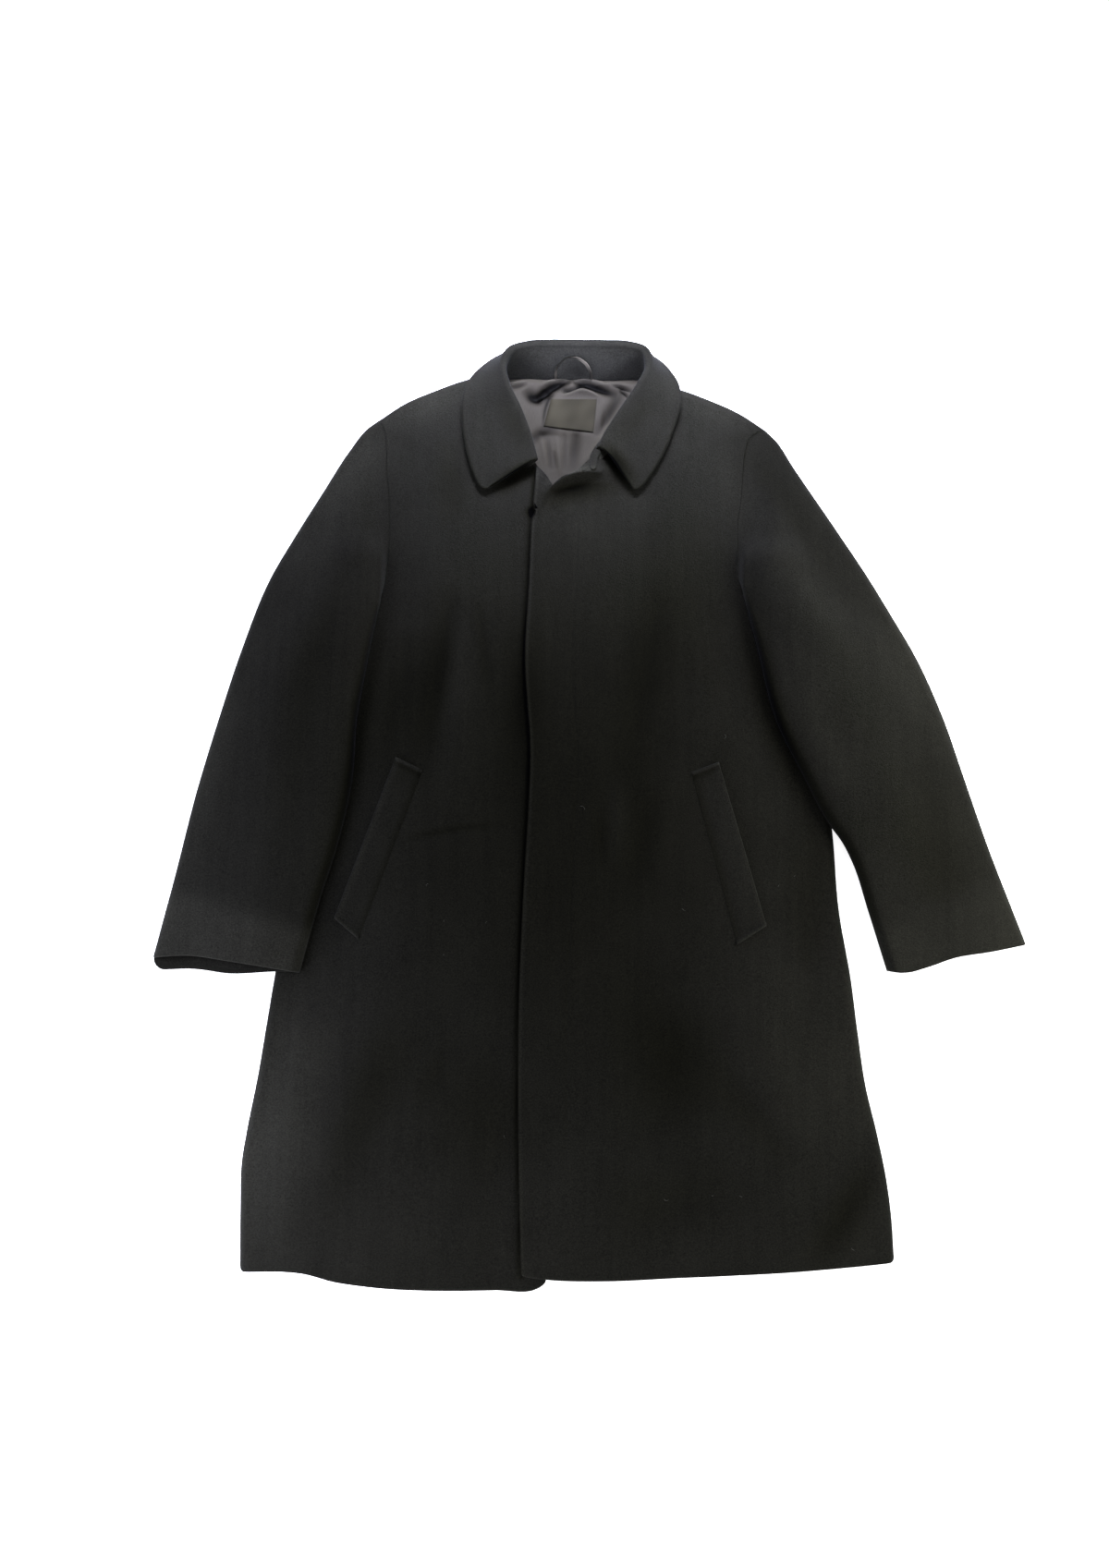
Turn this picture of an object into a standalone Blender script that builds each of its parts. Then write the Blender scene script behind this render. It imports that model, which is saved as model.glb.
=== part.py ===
"""Knee-length coat of black wool with a hidden fastening, laid flat on its back with the fronts closed."""

import bpy
import numpy as np

# Sizes are in millimetres. +X is the wearer's left, +Y is towards the neck, +Z is up from the surface.
MM = 0.001
CENTRE = -28.0          # centre back line
BACK_WALL = 2.2         # wool cloth and its lining, pressed under the coat
FRONT_WALL = 2.4        # wool cloth of the fronts and sleeves
COLLAR_WALL = 3.2       # two layers of wool and a stiffener
WELT_WALL = 3.0         # wool folded double
LINING_WALL = 1.0
LABEL_WALL = 0.8
LOOP_WALL = 1.4
LOOP_WIDTH = 5.0
SEAM = 0.8              # space between pieces sewn edge to edge
RIM = BACK_WALL + SEAM  # level at which an upper piece meets the piece below it
NOSE = 9.0              # height of the rounded fold along an edge
NOSE_RUN = 10.0         # how far in from the edge that fold reaches its height
LOFT = 10.0             # further rise towards the middle of the body
LOFT_RUN = 130.0
LAP_RISE = 3.6          # the left front lies on the right front
UNDERARM_LEVEL = 185.0
ARMHOLE_LEVEL = 226.0   # above this the front is sewn to the sleeve

# Body: level, half width on the wearer's right, half width on the wearer's left
BODY = [
    (-528, 346, 354), (-460, 349, 352), (-418, 350, 347), (-376, 345, 339), (-326, 337, 328),
    (-270, 330, 321), (-214, 323, 315), (-134, 311, 303), (-50, 297, 298), (60, 280, 286),
    (123, 267, 277), (167, 253, 267), (185, 244, 252), (203, 231, 230), (224, 219, 206), (246, 214, 194),
    (284, 212, 193), (317, 212, 194), (338, 213, 197), (374, 217, 200), (400, 218, 203), (416, 220, 208),
    (430, 228, 227),
]
# Shoulder, the same on both sides: half width, level
SHOULDER = [(228, 430), (197, 451), (165, 466), (126, 481), (95, 488)]
# Neck edge of each front, from its front corner to the shoulder: x, level
RIGHT_NECK = [(-36, 340), (-50, 346), (-73, 367), (-90, 405), (-105, 440), (-117, 468), (-123, 488)]
LEFT_NECK = [(-70, 377), (-51, 354), (-31, 365), (-2, 374), (13, 404), (30, 436), (47, 463), (67, 488)]
# Neck edge of the back: x, level
NECK_BACK = [(54, 494), (-28, 496), (-110, 494)]
# Front edge of each front: x, level
RIGHT_EDGE = [(-46, -534), (-43, -400), (-40, -200), (-37, 0), (-34, 200), (-36, 340)]
LEFT_EDGE = [
    (-73, -527), (-79, -360), (-80, -219), (-77, -111), (-73, -16), (-72, 29), (-80, 151),
    (-77, 230), (-74, 321), (-70, 377),
]
# Hem of each front: x, level
RIGHT_HEM = [(-374, -528), (-302, -529), (-272, -536), (-240, -540), (-100, -542), (-56, -540), (-46, -534)]
LEFT_HEM = [(-73, -527), (-46, -530), (20, -531), (100, -527), (200, -521), (300, -513), (326, -510)]
# Soft folds of the fronts: x and level of both ends, half width, height
FOLDS = [
    (-178, 200, -150, 20, 26, 3.0), (-112, 180, -106, -60, 24, -2.5), (62, 150, 82, -40, 30, 3.0),
    (140, -250, 172, -470, 34, 3.0), (-200, -250, -212, -480, 36, 3.0), (262, -400, 190, -480, 22, -2.5),
]
# Fold that stands up along the left front's neck edge: x and level of both ends, half width, height
NECK_FOLDS = [(-68, 312, -50, 342, 13, 4.5), (-50, 342, -31, 353, 13, 4.5), (-31, 353, -6, 361, 13, 4.5)]
# Sleeve edges from the shoulder or underarm to the cuff: x, level
RIGHT_OUTER = [
    (-256, 430), (-270, 422), (-289, 395), (-318, 345), (-347, 293), (-376, 238), (-402, 159), (-425, 71),
    (-445, -11), (-463, -107), (-483, -198),
]
RIGHT_INNER = [
    (-243, 236), (-247, 208), (-253, 176), (-261, 126), (-268, 77), (-271, 3), (-286, -75), (-301, -128),
    (-321, -212),
]
LEFT_OUTER = [
    (199, 430), (211, 414), (229, 384), (279, 308), (319, 248), (345, 202), (368, 160), (399, 85), (420, 17),
    (441, -52), (482, -171),
]
LEFT_INNER = [
    (165, 248), (170, 225), (185, 160), (206, 75), (235, 15), (262, -38), (279, -62), (290, -85), (305, -134),
    (325, -202),
]
# Cuff edge from the outer to the inner corner: x, level
RIGHT_CUFF = [(-483, -198), (-441, -195), (-402, -200), (-321, -212)]
LEFT_CUFF = [(482, -171), (439, -180), (399, -187), (367, -198), (343, -204), (325, -202)]
# Sleeve: share of the way down, rise in the middle
SLEEVE_LOFT = [(0.0, 8), (0.15, 17), (0.35, 19), (0.6, 14), (0.85, 9), (1.0, 7)]
RIGHT_CUFF_SHOWS = 14.0  # how far the lower half of the right cuff comes out below the upper half
# Welts: corners at the upper free, upper sewn, lower sewn and lower free end
RIGHT_WELT = [(-223, 30), (-192, 15), (-258, -175), (-286, -152)]
LEFT_WELT = [(140, 28), (109, 16), (159, -176), (192, -155)]
# Collar, from the right front end round the back to the left front end:
# foot x, level, height; fold x, level, height; outer edge x, level, height
COLLAR = [
    (-77, 374, 24, -69, 378, 33, -128, 342, 27),
    (-87, 400, 24, -77, 408, 35, -147, 374, 27),
    (-102, 434, 23, -90, 441, 38, -157, 424, 25),
    (-115, 466, 21, -103, 468, 41, -157, 462, 22),
    (-119, 486, 12, -108, 492, 42, -147, 490, 14),
    (-106, 492, 5.5, -101, 509, 43, -126, 513, 7),
    (-80, 492.5, 4.1, -80, 517, 43, -92, 531, 4.5),
    (-52, 492.5, 4.1, -54, 519, 43, -58, 536, 4.5),
    (-24, 492.5, 4.1, -24, 519, 43, -24, 537, 4.5),
    (4, 492.5, 4.1, 8, 519, 43, 12, 536, 4.5),
    (31, 492.5, 4.1, 36, 518, 43, 46, 532, 4.5),
    (52, 492, 5.5, 55, 511, 43, 77, 513, 7),
    (63, 486, 13, 58, 493, 42, 93, 490, 14),
    (57, 466, 22.5, 46, 467, 41, 99, 461, 22),
    (43, 434, 25.5, 26, 437, 38, 91, 423, 25),
    (24, 404, 26.5, 9, 409, 35, 71, 376, 27),
    (2, 377, 27.5, 1, 392, 34, 47, 341, 27),
]
COLLAR_BEND = 3.4        # radius of the fold between standing part and fall
# Lining that shows: x, level of its outline
LINING = [(-120, 484), (-106, 489), (-28, 490), (50, 489), (64, 484), (60, 300), (-120, 300)]
LABEL = [(-61, 463), (1, 462), (-3, 425), (-62, 432)]
# Hanging loop on the standing collar: x, share of the way up the stand
LOOP = [(-47, 0.06), (-44, 0.36), (-35, 0.58), (-25, 0.64), (-14, 0.56), (-7, 0.32), (-5, 0.06)]

for obj in list(bpy.data.objects):
    bpy.data.objects.remove(obj)
coat = bpy.data.collections.new("wool_coat")
bpy.context.scene.collection.children.link(coat)


def cloth(name, colour, roughness):
    material = bpy.data.materials.new(name)
    material.use_nodes = True
    shader = material.node_tree.nodes["Principled BSDF"]
    shader.inputs["Base Color"].default_value = (*colour, 1.0)
    shader.inputs["Roughness"].default_value = roughness
    return material


WOOL = cloth("black_wool", (0.012, 0.012, 0.011), 0.95)
SATIN = cloth("mauve_satin", (0.07, 0.06, 0.07), 0.4)
WOVEN = cloth("woven_label", (0.03, 0.03, 0.026), 0.6)


def through(places, rows, at):
    """Smooth curve that passes each row at its place, read at other places."""
    k, p = np.asarray(places, float), np.asarray(rows, float).reshape(len(rows), -1)
    h = np.diff(k)[:, None]
    slope = np.diff(p, axis=0) / h
    tangent = np.vstack([slope[:1], (h[1:] * slope[:-1] + h[:-1] * slope[1:]) / (h[1:] + h[:-1]), slope[-1:]])
    at = np.clip(np.asarray(at, float), k[0], k[-1])
    i = np.clip(np.searchsorted(k, at, side="right") - 1, 0, len(k) - 2)
    s, h = ((at - k[i]) / h[i, 0])[..., None], h[i]
    return ((1 + 2 * s) * (1 - s) ** 2 * p[i] + s * (1 - s) ** 2 * h * tangent[i]
            + s * s * (3 - 2 * s) * p[i + 1] - s * s * (1 - s) * h * tangent[i + 1])


def outline(rows, share):
    """Smooth curve through the rows, read at shares of its length."""
    rows = np.asarray(rows, float)
    run = np.concatenate([[0], np.cumsum(np.linalg.norm(np.diff(rows, axis=0), axis=1))])
    return through(run / run[-1], rows, share)


def ease(low, high, value):
    s = np.clip((value - low) / (high - low), 0, 1)
    return s * s * (3 - 2 * s)


def nose(gap):
    """Rounded fold along an edge: 0 at the edge, 1 from NOSE_RUN inwards."""
    return np.sqrt(1 - (1 - np.clip(gap / NOSE_RUN, 0, 1)) ** 2)


def patch(low, high, left, right, across, up):
    """Four-sided sheet between its four edges, each read at shares of its length."""
    u, v = across[None, :, None], up[:, None, None]
    a, b = outline(low, across)[None], outline(high, across)[None]
    c, d = outline(left, up)[:, None], outline(right, up)[:, None]
    return ((1 - v) * a + v * b + (1 - u) * c + u * d - (1 - u) * (1 - v) * a[:, :1] - u * (1 - v) * a[:, -1:]
            - (1 - u) * v * b[:, :1] - u * v * b[:, -1:])


def rises(folds, x, y):
    """Height of straight folds, each a soft ridge that fades at its two ends."""
    total = np.zeros_like(x)
    for x0, y0, x1, y1, half, height in folds:
        run = np.hypot(x1 - x0, y1 - y0)
        along = ((x - x0) * (x1 - x0) + (y - y0) * (y1 - y0)) / run
        aside = ((x - x0) * (y1 - y0) - (y - y0) * (x1 - x0)) / run
        past = np.clip(np.abs(along - run / 2) - run / 2, 0, None)
        total = np.maximum(total, height * np.exp(-(aside ** 2 + past ** 2) / half ** 2)) if height > 0 else (
            total + height * np.exp(-(aside ** 2 + past ** 2) / half ** 2))
    return total


def half_width(y, side):
    levels = [row[0] for row in BODY]
    return through(levels, [row[1 if side < 0 else 2] for row in BODY], y)[..., 0]


def body_height(x, y, fold=1.0):
    """Upper face of the fronts: a rounded fold along the edges, then a slow rise, with its soft folds."""
    out = np.abs(x - CENTRE)
    gap = np.where(x < CENTRE, half_width(y, -1), half_width(y, 1)) - out
    gap = np.clip(gap, 0, None) + 25 * ease(UNDERARM_LEVEL, ARMHOLE_LEVEL, y)
    halves, levels = zip(*SHOULDER[::-1])
    below = through(halves, levels, out)[..., 0] - y
    inner = np.minimum(ease(0, LOFT_RUN, gap), ease(-20, LOFT_RUN, below))
    loft = LOFT * (0.6 + 0.4 * ease(-540, -200, y))
    return RIM + NOSE * fold + loft * inner + rises(FOLDS, x, y) * ease(10, 60, gap)


def lap(x):
    return LAP_RISE * ease(70, -34, x)


def add(name, mesh, material):
    obj = bpy.data.objects.new(name, mesh)
    obj.data.materials.append(material)
    coat.objects.link(obj)
    return obj


def thicken(obj, wall, offset):
    wall_step = obj.modifiers.new("wall", "SOLIDIFY")
    wall_step.thickness = wall * MM
    wall_step.offset = offset
    wall_step.use_even_offset = True


def sheet(name, grid, wall, offset, material):
    """Sheet of cloth through a grid of points, thickened to its wall."""
    if np.cross(grid[1:, 1:] - grid[:-1, :-1], grid[1:, :-1] - grid[:-1, 1:])[..., 2].sum() < 0:
        grid = grid[:, ::-1]
    rows, cols = grid.shape[:2]
    start = (np.arange(rows - 1)[:, None] * cols + np.arange(cols - 1)).ravel()
    quads = np.stack([start, start + 1, start + cols + 1, start + cols], axis=1)
    mesh = bpy.data.meshes.new(name)
    mesh.from_pydata((grid.reshape(-1, 3) * MM).tolist(), [], quads.tolist())
    obj = add(name, mesh, material)
    thicken(obj, wall, offset)
    return obj


def flat(name, points, level, wall, material):
    """Flat piece of cloth with this outline, its lower face at this level."""
    mesh = bpy.data.meshes.new(name)
    mesh.from_pydata([(x * MM, y * MM, level * MM) for x, y in points], [], [range(len(points))])
    mesh.update()
    if mesh.polygons[0].normal.z < 0:
        mesh.flip_normals()
    thicken(add(name, mesh, material), wall, 1)


def body_side(side):
    """Side edge and armhole of the body, from the hem to the shoulder point."""
    return [(CENTRE + side * row[1 if side < 0 else 2], row[0]) for row in BODY]


def shoulder(side):
    return [(CENTRE + side * half, level) for half, level in SHOULDER]


# Rows and columns crowd towards the folded edges
NEAR_EDGE = np.array([0, 0.0016, 0.0055, 0.014, 0.03])
UP_ROWS = np.concatenate([[0, 0.035], np.linspace(0.09, 0.68, 10), np.linspace(0.715, 0.97, 13),
                          [0.989, 0.9945, 0.9978, 0.9994, 1]])


def front(name, side, hem, neck, edge):
    """One front: a domed sheet whose side and shoulder rims come down to the back."""
    spread = np.concatenate([NEAR_EDGE, np.linspace(0.08, 0.97, 12), [1]])
    flank = body_side(side)
    flank[0] = hem[0] if side < 0 else hem[-1]
    if side < 0:
        across = spread
        upper = shoulder(side) + neck[::-1][1:]
        left, right = flank, edge
    else:
        across = 1 - spread[::-1]
        upper = neck + shoulder(side)[::-1][1:]
        left, right = edge, flank
    plan = patch(hem, upper, left, right, across, UP_ROWS)
    x, y = plan[..., 0], plan[..., 1]
    rim = plan[:, :1] if side < 0 else plan[:, -1:]
    gap = np.linalg.norm(plan - rim, axis=-1)
    sewn = ease(UNDERARM_LEVEL, ARMHOLE_LEVEL, rim[..., 1])
    top_gap = np.linalg.norm(plan - plan[-1:], axis=-1)
    at_neck = ease(100, 84, np.abs(plan[-1:, :, 0] - CENTRE))
    z = body_height(x, y, nose(gap + 25 * sewn) * nose(top_gap + 60 * at_neck))
    if side > 0:
        z = z + lap(x) + rises(NECK_FOLDS, x, y)
    return sheet(name, np.dstack([x, y, z]), FRONT_WALL, -1, WOOL)


def sleeve(prefix, side, outer, inner, cuff, cuff_shows):
    """One sleeve: an upper and a lower half that lie on the surface and on the edge of the body."""
    edge_cols = np.array([0, 0.0035, 0.014, 0.035, 0.07, 0.14])
    across = np.concatenate([edge_cols, np.linspace(0.23, 0.77, 6), 1 - edge_cols[::-1]])
    down = np.concatenate([np.linspace(0, 0.2, 9), [0.235, 0.28], np.linspace(0.34, 1, 9)])
    flank = [row for row in body_side(side) if row[1] > inner[0][1] + 12]
    cap = np.array([inner[0]] + flank, float)[::-1]
    run = np.gradient(cap, axis=0)
    cap += side * 1.8 * SEAM * np.stack([-run[:, 1], run[:, 0]], axis=1) / np.linalg.norm(run, axis=1, keepdims=True)
    outer, inner = [tuple(cap[0])] + outer[1:], [tuple(cap[-1])] + inner[1:]
    plan = patch(cap, cuff, outer, inner, across, down)

    def rest(points):
        """Level of what the sleeve lies on: the surface, or the fronts."""
        x, y = points[..., 0], points[..., 1]
        inside = half_width(y, side) - np.abs(x - CENTRE)
        climb = 14 * ease(-50, -6, inside)
        return np.where(inside > 0, np.maximum(14, body_height(x, y) + 1.2), climb) * ease(300, 256, y)

    base = rest(plan)
    w, t = across[None, :], down[:, None]
    width = np.linalg.norm(plan[:, :1] - plan[:, -1:], axis=-1)
    fold = nose(w * width) * nose((1 - w) * width)
    loft = through(*zip(*SLEEVE_LOFT), t.ravel())
    dome = 9.5 + loft * np.sin(np.pi * w) ** 0.8
    arm = np.maximum(NOSE + LOFT * ease(0, LOFT_RUN, 25) - base[:1], 6.5)
    high = base + RIM + 0.2 + fold * (arm + (dome - arm) * ease(0, 0.14, t))
    sheet(prefix + "_top_sleeve", np.dstack([plan, high]), FRONT_WALL, -1, WOOL)

    low_cols = np.concatenate([[0, 0.015, 0.035, 0.065], np.linspace(0.11, 0.94, 11), [1]])
    under = patch(cap, cuff, outer, inner, low_cols, down)
    under[..., 1] -= cuff_shows * (ease(0, 0.12, low_cols) * ease(1, 0.4, low_cols))[None, :] * ease(0.9, 1, t)
    sheet(prefix + "_under_sleeve", np.dstack([under, rest(under)]), BACK_WALL, 1, WOOL)


def welt(name, corners, lap_on):
    """Pocket welt made from the points of its front, moved out, with its free edge a little raised."""
    a, b, c, d = (np.array(corner, float) for corner in corners)
    v, u = np.linspace(0, 1, 9)[:, None, None], np.linspace(0, 1, 4)[None, :, None]
    plan = (1 - v) * ((1 - u) * a + u * b) + v * ((1 - u) * d + u * c)
    x, y = plan[..., 0], plan[..., 1]
    z = body_height(x, y) + SEAM + 1.2 * (1 - u[..., 0]) + (lap(x) if lap_on else 0)
    sheet(name, np.dstack([x, y, z]), WELT_WALL, 1, WOOL)


def collar_sections(at):
    """Foot, fold and outer edge of the collar at shares of the way round it."""
    rows = np.asarray(COLLAR, float)
    steps = np.linalg.norm(np.diff(rows[:, 3:6], axis=0), axis=1)
    places = np.concatenate([[0], np.cumsum(steps)]) / steps.sum()
    found = through(places, rows, at)
    return found[:, :3], found[:, 3:6], found[:, 6:]


def bend(foot, fold, edge):
    """Direction in which the fold points, and the direction across it towards the fall."""
    out = fold - (foot + edge) / 2
    out /= np.linalg.norm(out, axis=1, keepdims=True)
    over = edge - foot
    over -= np.sum(over * out, axis=1, keepdims=True) * out
    return out, over / np.linalg.norm(over, axis=1, keepdims=True)


def collar():
    """Standing part, rounded fold and fall, in one sheet."""
    foot, fold, edge = collar_sections(np.linspace(0, 1, 33))
    out, over = bend(foot, fold, edge)
    middle = fold - COLLAR_BEND * out
    turn = [middle + COLLAR_BEND * (np.sin(a) * out - np.cos(a) * over) for a in np.linspace(0, np.pi, 6)]
    stand = [foot + (turn[0] - foot) * s for s in (0, 0.35, 0.7)]
    fall = [turn[-1] + (edge - turn[-1]) * s for s in (0.25, 0.5, 0.75, 1)]
    grid = np.stack(stand + turn + fall, axis=1)
    sheet("collar", grid, COLLAR_WALL, 0, WOOL)


def hanging_loop():
    """Satin ribbon lying on the inner face of the standing collar."""
    foot, fold, edge = collar_sections(np.array([0.5]))
    out, over = bend(foot, fold, edge)
    up = (fold - COLLAR_BEND * (out + over) - foot)[0]
    rows = np.asarray(LOOP, float)
    line = outline(rows * (1, np.linalg.norm(up)), np.linspace(0, 1, 15))
    along = np.gradient(line, axis=0)
    along /= np.linalg.norm(along, axis=1, keepdims=True)
    side = np.stack([-along[:, 1], along[:, 0]], axis=1) * LOOP_WIDTH / 2
    up /= np.linalg.norm(up)
    face = np.array([0, -up[2], up[1]])
    rise = COLLAR_WALL / 2 + 0.6
    grid = np.stack([line - side, line + side], axis=1)
    points = grid[..., :1] * (1, 0, 0) + foot[0] * (0, 1, 1) + grid[..., 1:] * (up * (0, 1, 1)) + face * rise
    sheet("hanging_loop", points, LOOP_WALL, 1, SATIN)


# Back: hem, left side and armhole, left shoulder, neck, then the right side down again
share = np.linspace(0, 1, 72)
right_flank, left_flank = body_side(-1), body_side(1)
right_flank[0], left_flank[0] = RIGHT_HEM[0], LEFT_HEM[-1]
back_rows = [*outline([RIGHT_HEM[0], (-28, -528), LEFT_HEM[-1]], np.linspace(0, 1, 9)),
             *outline(left_flank, share)[1:], *outline(shoulder(1), np.linspace(0, 1, 7))[1:],
             *NECK_BACK, *outline(shoulder(-1), np.linspace(0, 1, 7))[::-1],
             *outline(right_flank, share)[::-1][1:-1]]
flat("back", back_rows, 0, BACK_WALL, WOOL)

front("right_front", -1, RIGHT_HEM, RIGHT_NECK, RIGHT_EDGE)
front("left_front", 1, LEFT_HEM, LEFT_NECK, LEFT_EDGE)
sleeve("right", -1, RIGHT_OUTER, RIGHT_INNER, RIGHT_CUFF, RIGHT_CUFF_SHOWS)
sleeve("left", 1, LEFT_OUTER, LEFT_INNER, LEFT_CUFF, 0)
welt("right_welt", RIGHT_WELT, False)
welt("left_welt", LEFT_WELT, True)
collar()
flat("back_lining", LINING, BACK_WALL + 0.4, LINING_WALL, SATIN)
flat("neck_label", LABEL, BACK_WALL + 0.4 + LINING_WALL + 0.4, LABEL_WALL, WOVEN)
hanging_loop()
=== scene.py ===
import math

import bpy
import numpy as np
from mathutils import Matrix, Vector


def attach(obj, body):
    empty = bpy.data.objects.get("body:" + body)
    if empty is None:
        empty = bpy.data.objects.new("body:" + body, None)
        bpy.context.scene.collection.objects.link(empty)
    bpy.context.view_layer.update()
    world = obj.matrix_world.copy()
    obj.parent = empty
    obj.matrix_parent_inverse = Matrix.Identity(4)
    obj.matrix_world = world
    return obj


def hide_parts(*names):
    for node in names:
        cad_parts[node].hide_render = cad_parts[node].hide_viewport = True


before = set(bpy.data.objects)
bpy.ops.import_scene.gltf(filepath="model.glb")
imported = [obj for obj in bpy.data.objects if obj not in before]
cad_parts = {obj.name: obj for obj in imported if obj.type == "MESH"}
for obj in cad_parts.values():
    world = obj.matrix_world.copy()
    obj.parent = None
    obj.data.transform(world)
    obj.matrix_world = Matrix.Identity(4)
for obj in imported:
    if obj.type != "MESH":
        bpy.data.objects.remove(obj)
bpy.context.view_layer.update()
scene = bpy.context.scene
print("frame loaded")

# Lengths are in millimetres until a mesh is made. +X is the wearer's left, +Y the neck, +Z up from the floor.
mm = 0.001


def through(places, rows, at):
    # cubic through every row at its place, with slopes weighted from both neighbours
    k, p = np.asarray(places, float), np.asarray(rows, float).reshape(len(rows), -1)
    h = np.diff(k)[:, None]
    slope = np.diff(p, axis=0) / h
    tangent = np.vstack([slope[:1], (h[1:] * slope[:-1] + h[:-1] * slope[1:]) / (h[1:] + h[:-1]), slope[-1:]])
    at = np.clip(np.asarray(at, float), k[0], k[-1])
    i = np.clip(np.searchsorted(k, at, side="right") - 1, 0, len(k) - 2)
    s, h = ((at - k[i]) / h[i, 0])[..., None], h[i]
    return ((1 + 2 * s) * (1 - s) ** 2 * p[i] + s * (1 - s) ** 2 * h * tangent[i]
            + s * s * (3 - 2 * s) * p[i + 1] - s * s * (1 - s) * h * tangent[i + 1])


def outline(rows, share):
    # the same cubic with the rows placed by the length between them, read at shares of that length
    rows = np.asarray(rows, float)
    run = np.concatenate([[0], np.cumsum(np.linalg.norm(np.diff(rows, axis=0), axis=1))])
    return through(run / run[-1], rows, share)


def ease(low, high, value):
    # 0 up to low, 1 from high on, with a smooth S between
    s = np.clip((value - low) / (high - low), 0, 1)
    return s * s * (3 - 2 * s)


def bell(value, middle, half):
    # bell of height 1 round the middle
    return np.exp(-((value - middle) / half) ** 2)


def ridge(row, gap):
    # bell along an edge; the row holds its height, its distance from the edge and its half width
    height, place, half = row
    return height * bell(gap, place, half)


def quarter(gap, run):
    # quarter circle: 0 at the edge, 1 from the run inwards
    return np.sqrt(1 - (1 - np.clip(gap / run, 0, 1)) ** 2)


def corner(gap, radius):
    # how far a round corner of this radius stands back at each distance from the corner
    return radius * (1 - quarter(gap, radius))


def shares(size, low, high, step, extra=()):
    # places across a piece as shares of its size: close ones at both edges, even steps between, some extra
    count = int((size - low[-1] - high[-1]) / step) + 1
    middle = np.linspace(low[-1], size - high[-1], count)
    return np.unique(np.round(np.concatenate([low, middle, size - np.asarray(high), extra]), 4)) / size


def patch(low, high, left, right, across, up, fade=1.0):
    # sheet between four edges already read at the same shares: blend of the low and the high edge, plus how far
    # each side edge departs from that blend, fading with its distance across
    u, v = across[None, :, None], up[:, None, None]
    blend = (1 - v) * low[None] + v * high[None]
    leftOff, rightOff = left[:, None] - blend[:, :1], right[:, None] - blend[:, -1:]
    return blend + (1 - u) ** fade * leftOff + u ** fade * rightOff


def between(corners, u, v):
    # blend of four corners, which come in turn: u and v both 0, u 1, both 1, v 1
    a, b, c, d = (np.array(point, float) for point in corners)
    return ((1 - v) * (1 - u))[..., None] * a + ((1 - v) * u)[..., None] * b + (v * u)[..., None] * c + (
        v * (1 - u))[..., None] * d


def nearest(line, x, y):
    # distance to a broken line, on which side of its way each point lies (above 0: left), and its place along
    # the line from 0 to 1
    least, side, place = np.full(x.shape, 1e9), np.zeros(x.shape), np.zeros(x.shape)
    for k in range(len(line) - 1):
        (ax, ay), (sx, sy) = line[k], line[k + 1] - line[k]
        share = np.clip(((x - ax) * sx + (y - ay) * sy) / (sx * sx + sy * sy), 0, 1)
        dx, dy = x - ax - share * sx, y - ay - share * sy
        closer = dx * dx + dy * dy < least
        least = np.where(closer, dx * dx + dy * dy, least)
        side = np.where(closer, sx * dy - sy * dx, side)
        place = np.where(closer, (k + share) / (len(line) - 1), place)
    return np.sqrt(least), side, place


# Creases: start x, y; middle x, y; end x, y; half width on the left of the way, on its right; height
creaseSteps = 17  # points along a bent line
creaseReach = 2.6  # half widths from the line, past which its bell is as good as nothing


def creases(rows, x, y, fade=0.7):
    # soft ridges and troughs along bent lines: height times a bell across the line, with a half width of its
    # own on each side, fading to nothing at both ends
    total = np.zeros_like(x)
    t = np.linspace(0, 1, creaseSteps)[:, None]
    for x0, y0, xm, ym, x1, y1, halfLeft, halfRight, height in rows:
        start, middle, end = np.array([x0, y0], float), np.array([xm, ym], float), np.array([x1, y1], float)
        line = (1 - t) ** 2 * start + 2 * t * (1 - t) * (2 * middle - (start + end) / 2) + t ** 2 * end
        reach = creaseReach * max(halfLeft, halfRight)
        near = ((x > line[:, 0].min() - reach) & (x < line[:, 0].max() + reach)
                & (y > line[:, 1].min() - reach) & (y < line[:, 1].max() + reach))
        gap, side, place = nearest(line, x[near], y[near])
        half = np.where(side > 0, halfLeft, halfRight)
        total[near] += height * np.sin(np.pi * place) ** fade * np.exp(-(gap / half) ** 2)
    return total


def sway(x, y, waves):
    # slow unevenness: a few sine waves, each with its own direction, length, start and height
    return sum(height * np.sin(2 * np.pi * (x * math.cos(turn) + y * math.sin(turn)) / length + start)
               for turn, length, start, height in waves)


def facing(grid):
    # unit normal of a grid: its column direction crossed with its row direction
    normal = np.cross(np.gradient(grid, axis=1), np.gradient(grid, axis=0))
    return normal / np.maximum(np.linalg.norm(normal, axis=-1, keepdims=True), 1e-9)


def runs(grid):
    # lengths along the cloth to its left, right, lower and upper edge
    pad = ((0, 0), (1, 0)), ((1, 0), (0, 0))
    across = np.cumsum(np.pad(np.linalg.norm(np.diff(grid, axis=1), axis=-1), pad[0]), axis=1)
    along = np.cumsum(np.pad(np.linalg.norm(np.diff(grid, axis=0), axis=-1), pad[1]), axis=0)
    return across, across[:, -1:] - across, along, along[-1:] - along


def gridQuads(index):
    # four corners of each cell of a grid of vertex numbers
    return np.stack([index[:-1, :-1], index[:-1, 1:], index[1:, 1:], index[1:, :-1]], axis=-1).reshape(-1, 4)


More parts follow.
